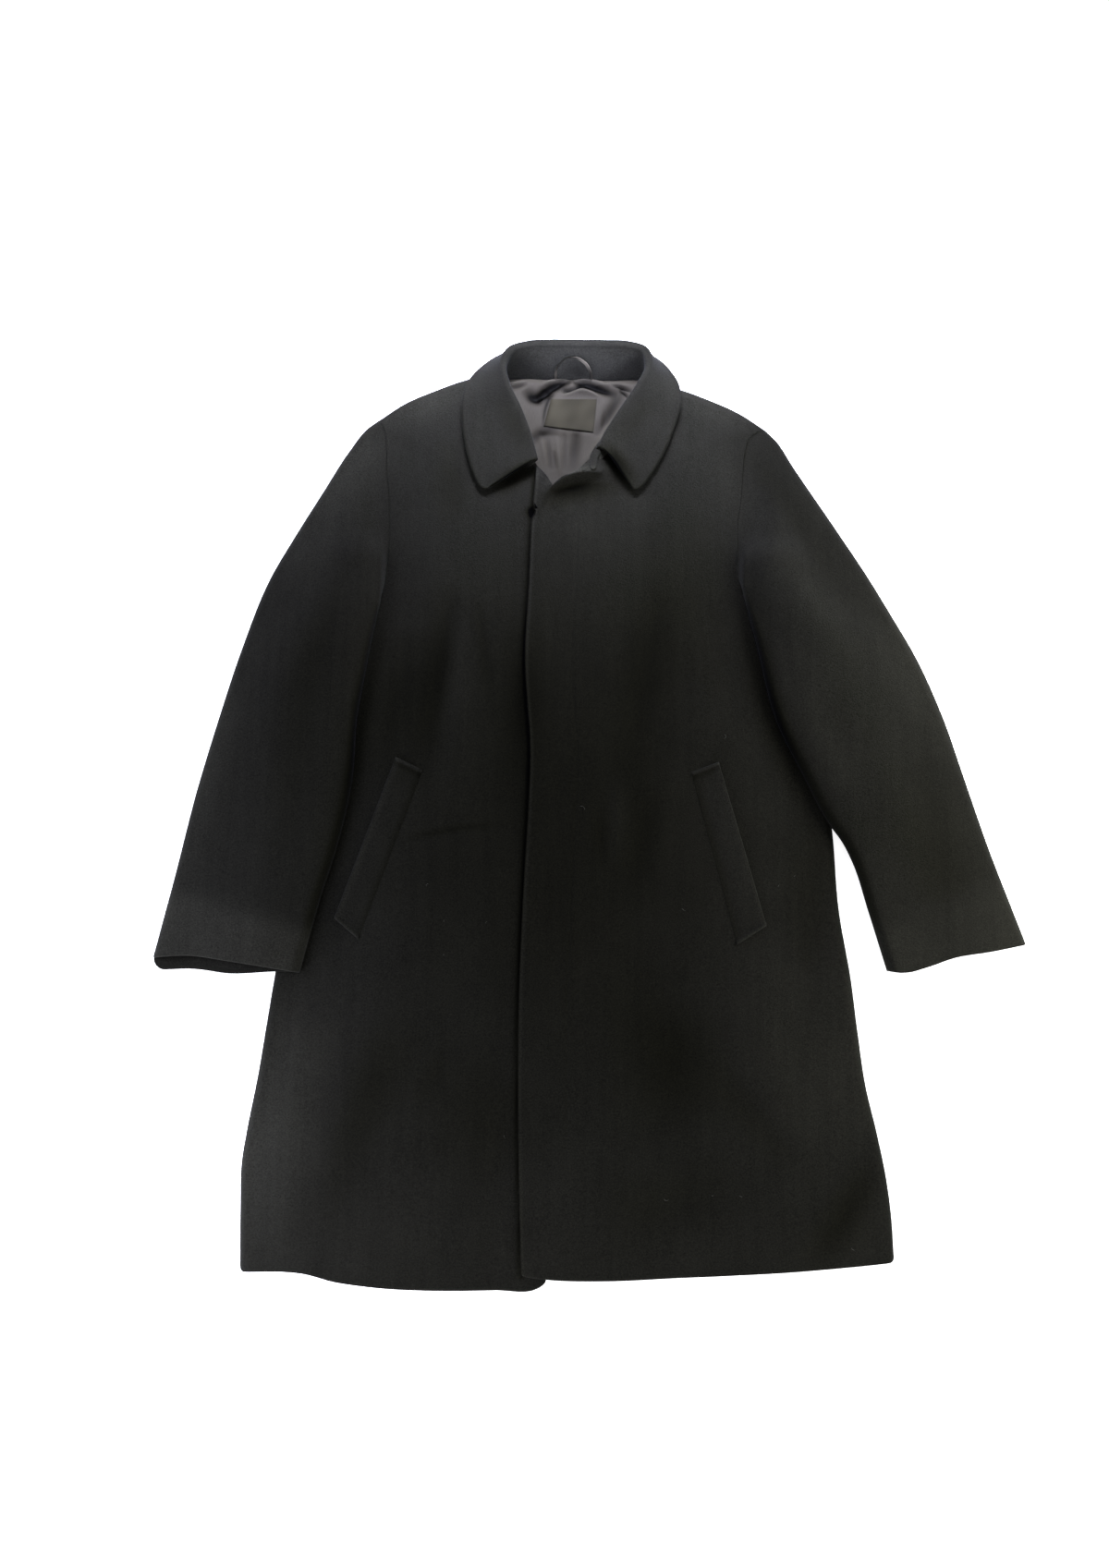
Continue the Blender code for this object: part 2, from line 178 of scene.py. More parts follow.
def putMesh(name, points, faces, material, uv=None, toneAndShading=None):
    # smooth mesh from points and faces; cloth also gets its flat lengths as UV map and its tone and painted
    # shading at each point
    mesh = bpy.data.meshes.new(name)
    mesh.from_pydata((points * mm).tolist(), [], faces)
    if uv is not None:
        mesh.attributes.new("toneAndShading", "FLOAT", "POINT").data.foreach_set("value", toneAndShading)
        corners = np.empty(len(mesh.loops), np.int32)
        mesh.loops.foreach_get("vertex_index", corners)
        mesh.uv_layers.new(name="cloth").data.foreach_set("uv", (uv[corners] * mm).ravel())
    mesh.polygons.foreach_set("use_smooth", np.ones(len(mesh.polygons), bool))
    mesh.materials.append(material)
    obj = bpy.data.objects.new(name, mesh)
    scene.collection.objects.link(obj)
    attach(obj, "root")
    return obj


# Painted light (above 0) and painted shade (below 0) on the wool, partly the nap's own patchy tone, in the same
# form as the creases
toneAndShadingRows = [
    (-165, 250, -174, 125, -196, -20, 10, 22, -0.42), (-206, 200, -222, 92, -246, -30, 34, 30, -0.36),
    (-151, 230, -153, 93, -162, -30, 15, 15, 0.10), (-88, 220, -80, 94, -94, -50, 24, 28, -0.30),
    (-136, 225, -126, 158, -114, 60, 7, 9, -0.18), (-176, -260, -250, -360, -288, -540, 34, 40, -0.32),
    (-300, -190, -348, -372, -366, -540, 58, 54, 0.82), (-148, -276, -170, -321, -188, -366, 13, 15, -0.16),
    (-164, 420, -168, 353, -162, 290, 16, 20, -0.22), (90, 270, 60, 139, 40, 10, 32, 28, -0.30),
    (56, 90, 46, 20, 58, -60, 30, 26, -0.12), (68, 20, 54, -62, 42, -146, 22, 22, -0.18),
    (8, -14, 8, -57, 9, -100, 7, 7, -0.14), (26, 24, 27, -42, 27, -108, 10, 10, 0.16),
    (-10, -205, 88, -290, 100, -390, 40, 50, -0.24), (116, -230, 90, -320, 48, -410, 46, 52, -0.20),
    (190, -422, 84, -446, -10, -480, 36, 36, -0.22), (124, -292, 180, -366, 250, -438, 22, 24, -0.24),
    (254, -10, 240, -150, 238, -300, 32, 30, -0.30), (314, -376, 274, -458, 224, -522, 20, 22, -0.46),
    (-258, 300, -316, 121, -336, -160, 24, 30, -0.26), (130, 452, 218, 335, 280, 200, 20, 22, -0.14),
    (100, 470, 208, 272, 330, 90, 26, 28, 0.30), (-30, 390, -30, 20, -40, -430, 165, 165, -0.40),
    (-286, 428, -210, 458, -110, 504, 26, 24, 0.9), (210, 432, 136, 460, 50, 500, 26, 24, 0.6),
    (-250, 450, -296, 368, -372, 230, 34, 34, 0.95), (300, 270, 360, 170, 420, 20, 22, 26, 0.22),
    (-400, 200, -440, 0, -478, -190, 26, 28, 0.45), (-120, 470, -96, 420, -80, 380, 12, 12, -0.22),
    (70, 470, 46, 430, 20, 390, 10, 12, -0.16), (214, 200, 246, 80, 300, -40, 30, 26, 0.40),
    (330, -60, 312, -240, 300, -440, 40, 46, 0.26), (190, -150, 190, -260, 176, -330, 34, 30, 0.14),
    (-70, 329, -24, 349, 34, 354, 3.2, 15, -0.85), (-62, 345, -31, 361.5, 10, 369, 4.5, 2.4, 1.7),
    (2, 392, 23, 377, 48, 340, 9, 10, -0.80), (-122, 340, -97, 358, -68, 378, 8, 9, -0.70),
    (-130, -470, -60, -440, 10, -505, 34, 30, 0.12), (-77, 327, -75.5, 319, -74, 310, 5, 5, -0.95),
    (66, 350, 112, 220, 134, 80, 60, 60, -0.18), (-90, -290, -120, -370, -104, -470, 54, 54, -0.26),
    (200, -60, 230, -280, 250, -520, 90, 80, 0.24), (-276, 350, -322, 250, -352, 140, 30, 30, 0.22),
    (340, 60, 382, -80, 420, -190, 42, 42, -0.24), (172, 250, 204, 84, 268, -50, 13, 15, -0.4),
    (-230, -120, -244, -208, -252, -290, 30, 30, 0.16), (-244, 215, -264, 60, -304, -150, 9, 12, -0.3),
    (-216, -67, -164, -53, -76, -43, 3.4, 3.4, -0.3),
]


def toneAndShadingAt(x, y):
    # sum of all the tone and painted shading rows at each point
    return creases(toneAndShadingRows, x, y, fade=1.4)


def shell(face, wall, turns=(1.0, 1.0, 1.0, 1.0), seat=0.5, toneAndShading=0.0):
    # closed sheet: middle surface plus and minus half the wall along the normal; along each edge the half wall
    # goes to nothing in a quarter circle, so both sides meet in a round edge; turns holds the breadths of that
    # at the left, right, lower and upper edge, and seat says how many walls the middle lies below the face
    wall, toneAndShading = np.broadcast_to(wall, face.shape[:2]), toneAndShadingAt(face[..., 0], face[..., 1]) + toneAndShading
    normal = facing(face)
    if seat and normal[..., 2].sum() < 0:
        face, wall, toneAndShading, turns = face[::-1], wall[::-1], toneAndShading[::-1], (turns[0], turns[1], turns[3], turns[2])
        normal = facing(face)
    gaps = runs(face)
    thick = np.min([quarter(gap, turn) for gap, turn in zip(gaps, turns)], axis=0)
    middle = face - normal * (seat * wall)[..., None]
    half = normal * (wall / 2 * thick)[..., None]
    rows, cols = face.shape[:2]
    upper = np.arange(rows * cols).reshape(rows, cols)
    lower = upper.copy()
    lower[1:-1, 1:-1] = rows * cols + np.arange((rows - 2) * (cols - 2)).reshape(rows - 2, cols - 2)
    points = np.concatenate([(middle + half).reshape(-1, 3), (middle - half)[1:-1, 1:-1].reshape(-1, 3)])
    quads = np.concatenate([gridQuads(upper), gridQuads(lower)[:, ::-1]])
    flat = np.stack([gaps[0], gaps[2]], axis=-1)
    uv = np.concatenate([flat.reshape(-1, 2), flat[1:-1, 1:-1].reshape(-1, 2)])
    return points, quads, uv, np.concatenate([toneAndShading.ravel(), toneAndShading[1:-1, 1:-1].ravel()])


def putCloth(name, material, *sheets):
    # one mesh from one or more closed sheets
    starts = np.cumsum([0] + [len(sheet[0]) for sheet in sheets])
    quads = np.concatenate([sheet[1] + start for sheet, start in zip(sheets, starts)])
    points, uv, toneAndShading = (np.concatenate([sheet[k] for sheet in sheets]) for k in (0, 2, 3))
    return putMesh(name, points, quads.tolist(), material, uv, toneAndShading)


def threads(name, start, along, bend, radius, material, sides=5, stations=6):
    # many thin closed spindles: centre = start + along * s + bend * s * (1 - s), with a radius that goes
    # to nothing at both ends
    s = np.linspace(0, 1, stations)[None, :, None]
    centre = start[:, None] + along[:, None] * s + bend[:, None] * s * (1 - s)
    tangent = along[:, None] + bend[:, None] * (1 - 2 * s)
    tangent = tangent / np.linalg.norm(tangent, axis=-1, keepdims=True)
    aside = np.cross(tangent, (0.21, 0.13, 0.97))  # a direction that no fibre lies along
    aside = aside / np.linalg.norm(aside, axis=-1, keepdims=True)
    other = np.cross(tangent, aside)
    a = 2 * np.pi * np.arange(sides) / sides
    swell = np.maximum(np.sin(np.pi * s[0, :, 0]) ** 0.5, 0.05)
    thick = (radius * swell)[None, :, None, None]
    ring = np.cos(a)[:, None] * aside[:, :, None] + np.sin(a)[:, None] * other[:, :, None]
    points = (centre[:, :, None] + thick * ring).reshape(-1, 3)
    n = len(start)
    base = (np.arange(n)[:, None, None] * stations + np.arange(stations - 1)[None, :, None]) * sides
    one, two = np.arange(sides), (np.arange(sides) + 1) % sides
    quads = np.stack([base + one, base + two, base + two + sides, base + one + sides], axis=-1).reshape(-1, 4)
    ends = np.arange(n)[:, None] * stations * sides
    caps = [(ends + one[::-1]).tolist(), (ends + (stations - 1) * sides + one).tolist()]
    return putMesh(name, points, quads.tolist() + caps[0] + caps[1], material)


def linear(code):
    # sRGB hex as linear red, green, blue and 1
    c = np.array([int(code[k:k + 2], 16) for k in (1, 3, 5)]) / 255
    return (*np.where(c <= 0.04045, c / 12.92, ((c + 0.055) / 1.055) ** 2.4), 1.0)


def addNode(tree, kind, inputs=None, **settings):
    # one node with its settings; each input is a socket to link or a plain value
    node = tree.nodes.new(kind)
    for key, value in settings.items():
        setattr(node, key, value)
    for key, value in (inputs or {}).items():
        if isinstance(value, bpy.types.NodeSocket):
            tree.links.new(value, node.inputs[key])
        else:
            node.inputs[key].default_value = value
    return node


def newMaterial(name):
    # empty material and its node tree
    material = bpy.data.materials.new(name)
    material.use_nodes = True
    material.node_tree.nodes.clear()
    return material, material.node_tree


def toneAndShadingColour(tree, colour, brown):
    # colour times 1 plus the mesh's own tone and painted shading value; where that is below 0, mostly painted
    # shade, the colour also turns browner
    lie = addNode(tree, "ShaderNodeAttribute", attribute_name="toneAndShading").outputs["Fac"]
    level = addNode(tree, "ShaderNodeMath", {0: lie, 1: 1.0}, operation="ADD").outputs[0]
    shadedPart = addNode(tree, "ShaderNodeMath", {0: lie, 1: 0.0}, operation="MINIMUM").outputs[0]
    blue = addNode(tree, "ShaderNodeMath", {0: shadedPart, 1: brown, 2: 1.0}, operation="MULTIPLY_ADD").outputs[0]
    tint = addNode(tree, "ShaderNodeCombineXYZ", {"X": 1.0, "Y": 1.0, "Z": blue}).outputs["Vector"]
    tinted = addNode(tree, "ShaderNodeVectorMath", {0: colour, 1: tint}, operation="MULTIPLY").outputs["Vector"]
    toned = addNode(tree, "ShaderNodeVectorMath", {"Vector": tinted, "Scale": level}, operation="SCALE")
    return toned.outputs["Vector"]


def finishCloth(tree, look, tone, height, finish=None):
    # from the dark to the light colour by the tone, times the tone and painted shading attribute, with the
    # height as fine bumps
    ends = {"A": linear(look["dark"]), "B": linear(look["light"])}
    colour = addNode(tree, "ShaderNodeMix", {"Factor": tone, **ends}, data_type="RGBA").outputs["Result"]
    bump = addNode(tree, "ShaderNodeBump", {
        "Height": height, "Strength": look["bump"], "Distance": look["bumpRise"]})
    shader = addNode(tree, "ShaderNodeBsdfPrincipled", {
        "Base Color": toneAndShadingColour(tree, colour, look["brown"]), "Roughness": look["roughness"],
        "Specular IOR Level": look["gloss"], "Normal": bump.outputs["Normal"], **(finish or {})})
    addNode(tree, "ShaderNodeOutputMaterial", {"Surface": shader.outputs["BSDF"]})


# Sizes of the patterns in millimetres, heights of the bumps in metres
woolLook = {
    "dark": "#0c0c0a", "light": "#22221e", "brown": 0.38, "roughness": 0.95, "gloss": 0.015,
    "fibre": 0.8, "mottle": 1.8, "patch": 60.0, "streak": 9.0, "patchShare": 0.25, "streakShare": 0.2,
    "tones": (0.89, 1.76), "tuftStretch": (0.55, 1.0, 1.0), "brushStretch": (1.0, 0.08, 1.0),
    "sheen": 0.04, "sheenRoughness": 0.45, "sheenColour": "#c9ccd6", "bump": 0.45, "bumpRise": 0.0006,
}


def woolMaterial(name, look):
    # felted wool: nearly black, matt, mottled by its fibres, with a faint pale nap at grazing angles
    material, tree = newMaterial(name)
    coords = addNode(tree, "ShaderNodeTexCoord").outputs["Object"]
    tufts, brushed = (
        addNode(tree, "ShaderNodeMapping", {"Vector": coords, "Scale": look[key]}).outputs["Vector"]
        for key in ("tuftStretch", "brushStretch"))
    # real fibres are about 0.02 mm, far too fine to see, so the first noise stands for small tufts of them
    noises = [(tufts, "fibre", 3.0, 0.65), (coords, "mottle", 3.0, 0.6), (coords, "patch", 2.0, 0.5),
              (brushed, "streak", 2.0, 0.5)]
    fibre, mottle, broad, streak = (
        addNode(tree, "ShaderNodeTexNoise", {"Vector": vector, "Scale": 1000 / look[size], "Detail": detail,
                                             "Roughness": rough}).outputs["Fac"]
        for vector, size, detail, rough in noises)
    felt = addNode(tree, "ShaderNodeMath", {0: fibre, 1: mottle}, operation="ADD").outputs[0]
    felted = felt
    for noise, share in ((broad, look["patchShare"]), (streak, look["streakShare"])):
        felted = addNode(tree, "ShaderNodeMath", {0: noise, 1: share, 2: felted},
                         operation="MULTIPLY_ADD").outputs[0]
    low, high = look["tones"]
    tone = addNode(tree, "ShaderNodeMapRange", {"Value": felted, "From Min": low, "From Max": high})
    finishCloth(tree, look, tone.outputs["Result"], felt, {
        "Sheen Weight": look["sheen"], "Sheen Roughness": look["sheenRoughness"],
        "Sheen Tint": linear(look["sheenColour"])})
    return material


satinLook = {"dark": "#25231f", "light": "#302e28", "brown": 0.0, "roughness": 0.55, "gloss": 0.02,
             "anisotropy": 0.4, "thread": 0.5, "threadStretch": (1.0, 0.08, 1.0),
             "bump": 0.12, "bumpRise": 0.0003}


def satinMaterial(name, look):
    # satin lining: dark brownish grey with a soft streaky gloss along its threads
    material, tree = newMaterial(name)
    coords = addNode(tree, "ShaderNodeTexCoord").outputs["Object"]
    lie = addNode(tree, "ShaderNodeMapping", {"Vector": coords, "Scale": look["threadStretch"]})
    # threads of about 0.1 mm are drawn as streaks of half a millimetre
    streak = addNode(tree, "ShaderNodeTexNoise", {
        "Vector": lie.outputs["Vector"], "Scale": 1000 / look["thread"], "Detail": 2.0}).outputs["Fac"]
    finishCloth(tree, look, streak, streak, {"Anisotropic": look["anisotropy"]})
    return material


labelLook = {"dark": "#1a1914", "light": "#25231a", "brown": 0.0, "roughness": 0.7, "gloss": 0.03,
             "rib": 0.986, "ribWaver": 1.5, "bump": 0.2, "bumpRise": 0.0002}


def labelMaterial(name, look):
    # woven ribbon: fine cross ribs in dark grey, slightly glossy
    material, tree = newMaterial(name)
    uv = addNode(tree, "ShaderNodeTexCoord").outputs["UV"]
    # ribs of about 0.3 mm are drawn nearly a millimetre apart; at scale 1 the bands lie pi / 10 apart
    bands = math.pi / 10 / (look["rib"] * mm)
    rib = addNode(tree, "ShaderNodeTexWave", {
        "Vector": uv, "Scale": bands, "Detail": 1.0, "Distortion": look["ribWaver"]}, bands_direction="Y")
    finishCloth(tree, look, rib.outputs["Fac"], rib.outputs["Fac"])
    return material


def plainMaterial(name, code, roughness, glow=0.0):
    # even colour with a given roughness; the floor also glows a little, like a light table
    material, tree = newMaterial(name)
    shader = addNode(tree, "ShaderNodeBsdfPrincipled", {
        "Base Color": linear(code), "Roughness": roughness, "Specular IOR Level": 0.2,
        "Emission Color": linear(code), "Emission Strength": glow})
    addNode(tree, "ShaderNodeOutputMaterial", {"Surface": shader.outputs["BSDF"]})
    return material


wool = woolMaterial("blackWool", woolLook)
satin = satinMaterial("mauveSatin", satinLook)
woven = labelMaterial("wovenLabel", labelLook)
lint = plainMaterial("paleLint", "#4c4c48", 0.9)  # cotton fluff: matt grey specks
print("materials made")

# Rows of three numbers along an edge: height, distance from the edge, half width
body = {
    "centre": -28.0, "length": 1000.0, "step": 4.6, "backWall": 2.2, "wall": 2.4, "rim": 2.4,
    "fold": 9.0, "foldRun": 10.0,  # height and breadth of the rounded fold along the edges
    "loft": 10.0, "loftRun": 130.0, "loftStart": -20.0, "hemLoft": 0.6, "hemRange": (-540, -200),
    "lap": 3.0, "lapRange": (70, -34), "calmRange": (10, 60),
    "underarm": 185.0, "armhole": 226.0, "sewnGap": 25.0,  # a sewn edge counts as this far inside
    "neckHalf": (100, 84), "neckGap": 60.0, "neckRows": (816, 986, 2.6),
    "corner": 5.0, "cornerRun": 6.0, "tuck": 7.0, "tuckAt": (228, 18), "tuckRun": 8.0,
    "shoulderSeam": (-0.7, 7.0, 1.4), "edgeWall": (0.8, 0, 9), "hemWall": (1.0, 0, 9),
    "edgeRidge": (0.5, 2.5, 3.0), "hemRidge": (0.4, 3, 4),
    # level, half width on the wearer's right, half width on the wearer's left
    "sides": [
        (-528, 346, 354), (-460, 349, 352), (-418, 350, 347), (-376, 345, 339), (-326, 337, 328),
        (-270, 330, 321), (-214, 323, 315), (-134, 311, 303), (-50, 297, 298), (60, 280, 286),
        (123, 267, 277), (167, 253, 267), (185, 244, 252), (203, 231, 230), (224, 219, 206), (246, 214, 194),
        (284, 212, 193), (317, 212, 194), (338, 213, 197), (374, 217, 200), (400, 218, 203), (416, 220, 208),
        (430, 228, 227)],
    # half width, level
    "shoulder": [(228, 430), (197, 451), (165, 466), (126, 481), (95, 488)],
    "raised": 8.8, "raisedRun": 30.0,  # higher shoulder on the wearer's right
    "neckBack": [(54, 498), (-28, 500), (-110, 498)],
    # direction, wave length, start, height
    "sway": [(0.3, 173, 0.4, 0.45), (1.35, 241, 2.0, 0.5), (2.2, 119, 4.1, 0.25), (0.05, 87, 1.1, 0.2)],
}

# Close rows and columns along a rounded fold, a free edge and a seam, as distances from the edge
foldGaps = body["foldRun"] * (1 - np.cos(np.radians([0, 6, 12, 20, 28, 37, 46, 55, 64, 73, 82, 90])))
edgeGaps = np.array([0, 0.08, 0.3, 0.65, 1.1, 1.7, 2.5, 3.6, 5.2, 7.5])
seamGaps = np.array([0, 0.08, 0.3, 0.65, 1.2, 2.2, 4.0])


def halfWidth(y, side):
    # half width of the body at each level: the cubic through its table
    levels, rightHalves, leftHalves = zip(*body["sides"])
    return through(levels, rightHalves if side < 0 else leftHalves, y)[..., 0]


def shoulderLine(side):
    # shoulder from its outer end to the neck, raised on the wearer's right, a tenth less at the outer end
    raised = body["raised"] if side < 0 else 0
    widest = body["shoulder"][0][0]
    return [(body["centre"] + side * half,
             level + raised * (0.9 + 0.1 * min(1, (widest - half) / body["raisedRun"])))
            for half, level in body["shoulder"]]


def bodySide(side):
    # side edge from the hem up to the outer end of the shoulder
    column = 1 if side < 0 else 2
    edge = [(body["centre"] + side * row[column], row[0]) for row in body["sides"][:-1]]
    return edge + [shoulderLine(side)[0]]


def sideGap(x, y):
    # distance in from the side edges
    return np.where(x < body["centre"], halfWidth(y, -1), halfWidth(y, 1)) - np.abs(x - body["centre"])


def bodyLevel(x, y):
    # rim, plus the fold along the edges, plus a slow rise towards the middle, which is lower at the hem
    gap = np.clip(sideGap(x, y), 0, None) + body["sewnGap"] * ease(body["underarm"], body["armhole"], y)
    halves, levels = zip(*body["shoulder"][::-1])
    below = through(halves, levels, np.abs(x - body["centre"]))[..., 0] - y
    inner = np.minimum(ease(0, body["loftRun"], gap), ease(body["loftStart"], body["loftRun"], below))
    loft = body["loft"] * (body["hemLoft"] + (1 - body["hemLoft"]) * ease(*body["hemRange"], y))
    return body["rim"] + body["fold"] + loft * inner


rightFront = {
    "hem": [(-374, -528), (-302, -529), (-272, -536), (-240, -540), (-100, -542), (-56, -540), (-46, -534)],
    "neck": [(-36, 340), (-50, 350), (-68, 376), (-86, 408), (-104, 441), (-117, 468), (-123, 488)],
    "edge": [(-46, -534), (-43, -400), (-40, -200), (-37, 0), (-34, 200), (-36, 340)],
    "creases": [
        (-168, 232, -175, 125, -193, 8, 7, 15, -3.2), (-212, 172, -223, 92, -238, 10, 24, 20, -2.8),
        (-152, 200, -153, 93, -160, 0, 13, 12, 1.8), (-86, 175, -80, 94, -88, 6, 14, 16, -2.2),
        (-134, 210, -126, 158, -116, 76, 5, 6, -1.2), (-220, 172, -219, 138, -218, 98, 5, 6, -1.0),
        (-186, -290, -250, -402, -292, -520, 24, 30, -3.4), (-300, -225, -345, -372, -362, -515, 26, 34, 3.0),
        (-150, -284, -170, -321, -186, -358, 9, 10, -1.3), (-214, -66, -164, -53, -76, -43, 4, 6, -1.1),
        (-196, -52, -166, -46, -128, -41, 5, 6, 0.7), (-166, 402, -168, 353, -164, 300, 12, 14, -1.6),
        (-96, -60, -112, -190, -120, -300, 30, 26, 1.8), (-170, -60, -186, -150, -182, -250, 22, 26, 1.4),
        (-120, -330, -128, -430, -122, -520, 24, 22, 1.6)],
    "breadth": 350.0, "turns": (1.0, 1.6, 1.6, 1.0),
    "lapShadow": (-0.7, 0, 3.0),  # painted shadow beside the edge of the front that laps over it
}
leftFront = {
    "hem": [(-73, -527), (-46, -530), (20, -531), (100, -527), (200, -521), (300, -513), (326, -510)],
    "corner": [(-70, 384), (-51.5, 355.5)],
    "neck": [(-51.5, 355.5), (-43, 362.5), (-32, 369), (-20, 376.5), (-9, 386), (3, 398), (15, 414), (30, 438),
             (47, 464), (67, 488)],
    "edge": [(-73, -527), (-79, -360), (-80, -219), (-77, -111), (-73, -16), (-72, 29), (-80, 151),
             (-77, 230), (-74, 321), (-70, 377)],
    "creases": [
        (78, 222, 57, 139, 48, 46, 17, 13, -3.6), (61, -12, 54, -62, 48, -112, 14, 15, -3.2),
        (8, -26, 8, -57, 9, -88, 5, 6, -1.6), (26, 8, 27, -42, 27, -92, 6, 6, 1.2),
        (-8, 30, -6, -20, -10, -70, 7, 6, 0.9), (74, -226, 95, -303, 78, -388, 24, 26, -4.2),
        (152, -436, 100, -448, 46, -470, 20, 24, -2.6), (138, -308, 180, -366, 232, -420, 14, 15, -2.2),
        (259, -60, 248, -152, 250, -240, 18, 18, -3.6), (304, -398, 272, -460, 234, -506, 15, 12, -4.0),
        (320, -420, 296, -462, 262, -510, 12, 14, 2.2), (118, 180, 126, 90, 120, 0, 26, 30, 2.4),
        (110, -150, 128, -206, 124, -252, 26, 30, 1.8), (10, -180, 20, -290, 8, -400, 24, 22, 1.8),
        (-10, 250, 4, 140, -12, 60, 24, 22, 1.6), (200, -190, 196, -280, 206, -350, 26, 24, 1.8),
        (38, 156, 36, 130, 33, 100, 6, 8, -1.0), (-38, 42, -38, 12, -38, -20, 6, 7, -1.0)],
    # the neck edge stands up along this line: x, y, height
    "lift": [(26, 369, 0), (14, 367, 4), (4, 366, 8.5), (-5, 365.5, 11), (-16, 365, 13), (-29, 362.5, 13.5),
             (-40, 358, 13), (-48, 351, 11), (-54.6, 344, 9), (-58.7, 335, 7), (-62.8, 326, 4.5),
             (-67, 317, 2), (-71, 309, 0)],
    "liftSteps": 33, "liftRun": 18.0, "liftPower": 2.6, "liftBack": (36, 14),
    "lean": 3.0, "leanHeight": 12, "leanShares": (0.6, 0.8), "leanRange": (2, -30),
    "flySeam": (-0.45, 54.0, 1.5), "flyLow": (-400, -370), "flyHigh": (330, 300),
    "notch": 4.0, "notchAt": (320, 6), "notchRun": 12,
    "breadth": 360.0, "turns": (1.8, 1.0, 1.6, 1.0),
    "neckColumns": [(9, 44, 2.0), (44, 68, 1.0), (68, 112, 2.0)],
    "rimShading": (0.4, 4.6, 2.2), "edgeShadow": (-0.9, 0, 2.0),  # painted shadow along the thin edge, with a painted highlight on the rim inside it
}


def frontTop(x, y, side):
    # height of a front away from its edges: body, lap, creases and slow unevenness
    z = bodyLevel(x, y) + (body["lap"] * ease(*body["lapRange"], x) if side > 0 else 0)
    rows = (leftFront if side > 0 else rightFront)["creases"]
    return z + (creases(rows, x, y) + sway(x, y, body["sway"])) * ease(*body["calmRange"], sideGap(x, y))


def neckLift(piece, x, y):
    # full height on the neck side of the line, fading with distance; on the other side a hollow slope, falling
    # with a power of what is left of its run; also how far the lip leans over
    share = np.linspace(0, 1, piece["liftSteps"])
    line = outline(piece["lift"], share)
    gap, side, place = nearest(line[:, :2], x, y)
    slope = np.clip(1 - gap / piece["liftRun"], 0, 1) ** piece["liftPower"]
    rise = np.interp(place, share, line[:, 2]) * np.where(side > 0, slope, ease(*piece["liftBack"], gap))
    return rise, piece["lean"] * (rise / piece["leanHeight"]) ** 2


def neckCorner(piece, across):
    # straight down from the front corner to the lowest point of the neck, then on round the neck and the
    # shoulder; also the share of the whole way at that point
    rest = np.array(piece["neck"] + shoulderLine(1)[::-1][1:], float)
    first = math.dist(*piece["corner"])
    share = first / (first + np.linalg.norm(np.diff(rest, axis=0), axis=1).sum())
    start, end = (np.array(p, float) for p in piece["corner"])
    line = start + (end - start) * np.clip(across / share, 0, 1)[:, None]
    return np.where((across <= share)[:, None], line, outline(rest, (across - share) / (1 - share))), share


def frontFace(piece, side, across, up):
    # plan from the four edges; height from the body with its rounded folds at the side and the shoulder
    flank = bodySide(side)
    freeEnd, sideEnd = (-1, 0) if side < 0 else (0, -1)
    flank[0] = piece["hem"][sideEnd]
    flankLine, edge, hem = outline(flank, up), outline(piece["edge"], up), outline(piece["hem"], across)
    hem[:, 1] += corner(np.abs(hem[:, 0] - hem[freeEnd, 0]), body["corner"])
    edge[:, 1] += (hem[freeEnd, 1] - edge[0, 1]) * ease(0.02, 0, up)  # its foot follows the round corner
    if side < 0:
        upper = outline(shoulderLine(side) + piece["neck"][::-1][1:], across)
        plan = patch(hem, upper, flankLine, edge, across, up, fade=2.0)
        rim = plan[:, :1]
    else:
        plan = patch(hem, neckCorner(piece, across)[0], edge, flankLine, across, up, fade=2.0)
        # small notch in the free edge below the neck
        inward = np.linalg.norm(plan - plan[:, :1], axis=-1)
        notch = piece["notch"] * bell(plan[:, :1, 1], *piece["notchAt"])
        plan[..., 0] += notch * np.exp(-inward / piece["notchRun"])
        rim = plan[:, -1:]
    gap = np.linalg.norm(plan - rim, axis=-1)
    fromHem = np.linalg.norm(plan - plan[:1], axis=-1)
    plan[..., 1] += corner(gap, body["corner"]) * np.exp(-fromHem / body["cornerRun"])  # round lower corner
    tuck = side * body["tuck"] * bell(plan[..., 1], *body["tuckAt"])
    plan[..., 0] += tuck * np.exp(-gap / body["tuckRun"])  # runs on under the sleeve
    x, y = plan[..., 0], plan[..., 1]
    sewn = body["sewnGap"] * ease(body["underarm"], body["armhole"], rim[..., 1])
    topGap = np.linalg.norm(plan - plan[-1:], axis=-1)
    atNeck = ease(*body["neckHalf"], np.abs(plan[-1:, :, 0] - body["centre"]))
    fold = quarter(gap + sewn, body["foldRun"]) * quarter(topGap + body["neckGap"] * atNeck, body["foldRun"])
    z = frontTop(x, y, side) + body["fold"] * (fold - 1)
    z += ridge(body["shoulderSeam"], topGap) * (1 - atNeck)
    if side > 0:
        rise, over = neckLift(piece, x, y)
        alongX, alongY = piece["leanShares"]
        x, y, z = x + alongX * over * ease(*piece["leanRange"], x), y - alongY * over, z + rise
        fromEdge = np.linalg.norm(plan - plan[:, :1], axis=-1)
        z += ridge(piece["flySeam"], fromEdge) * ease(*piece["flyLow"], y) * ease(*piece["flyHigh"], y)
    return np.dstack([x, y, z])


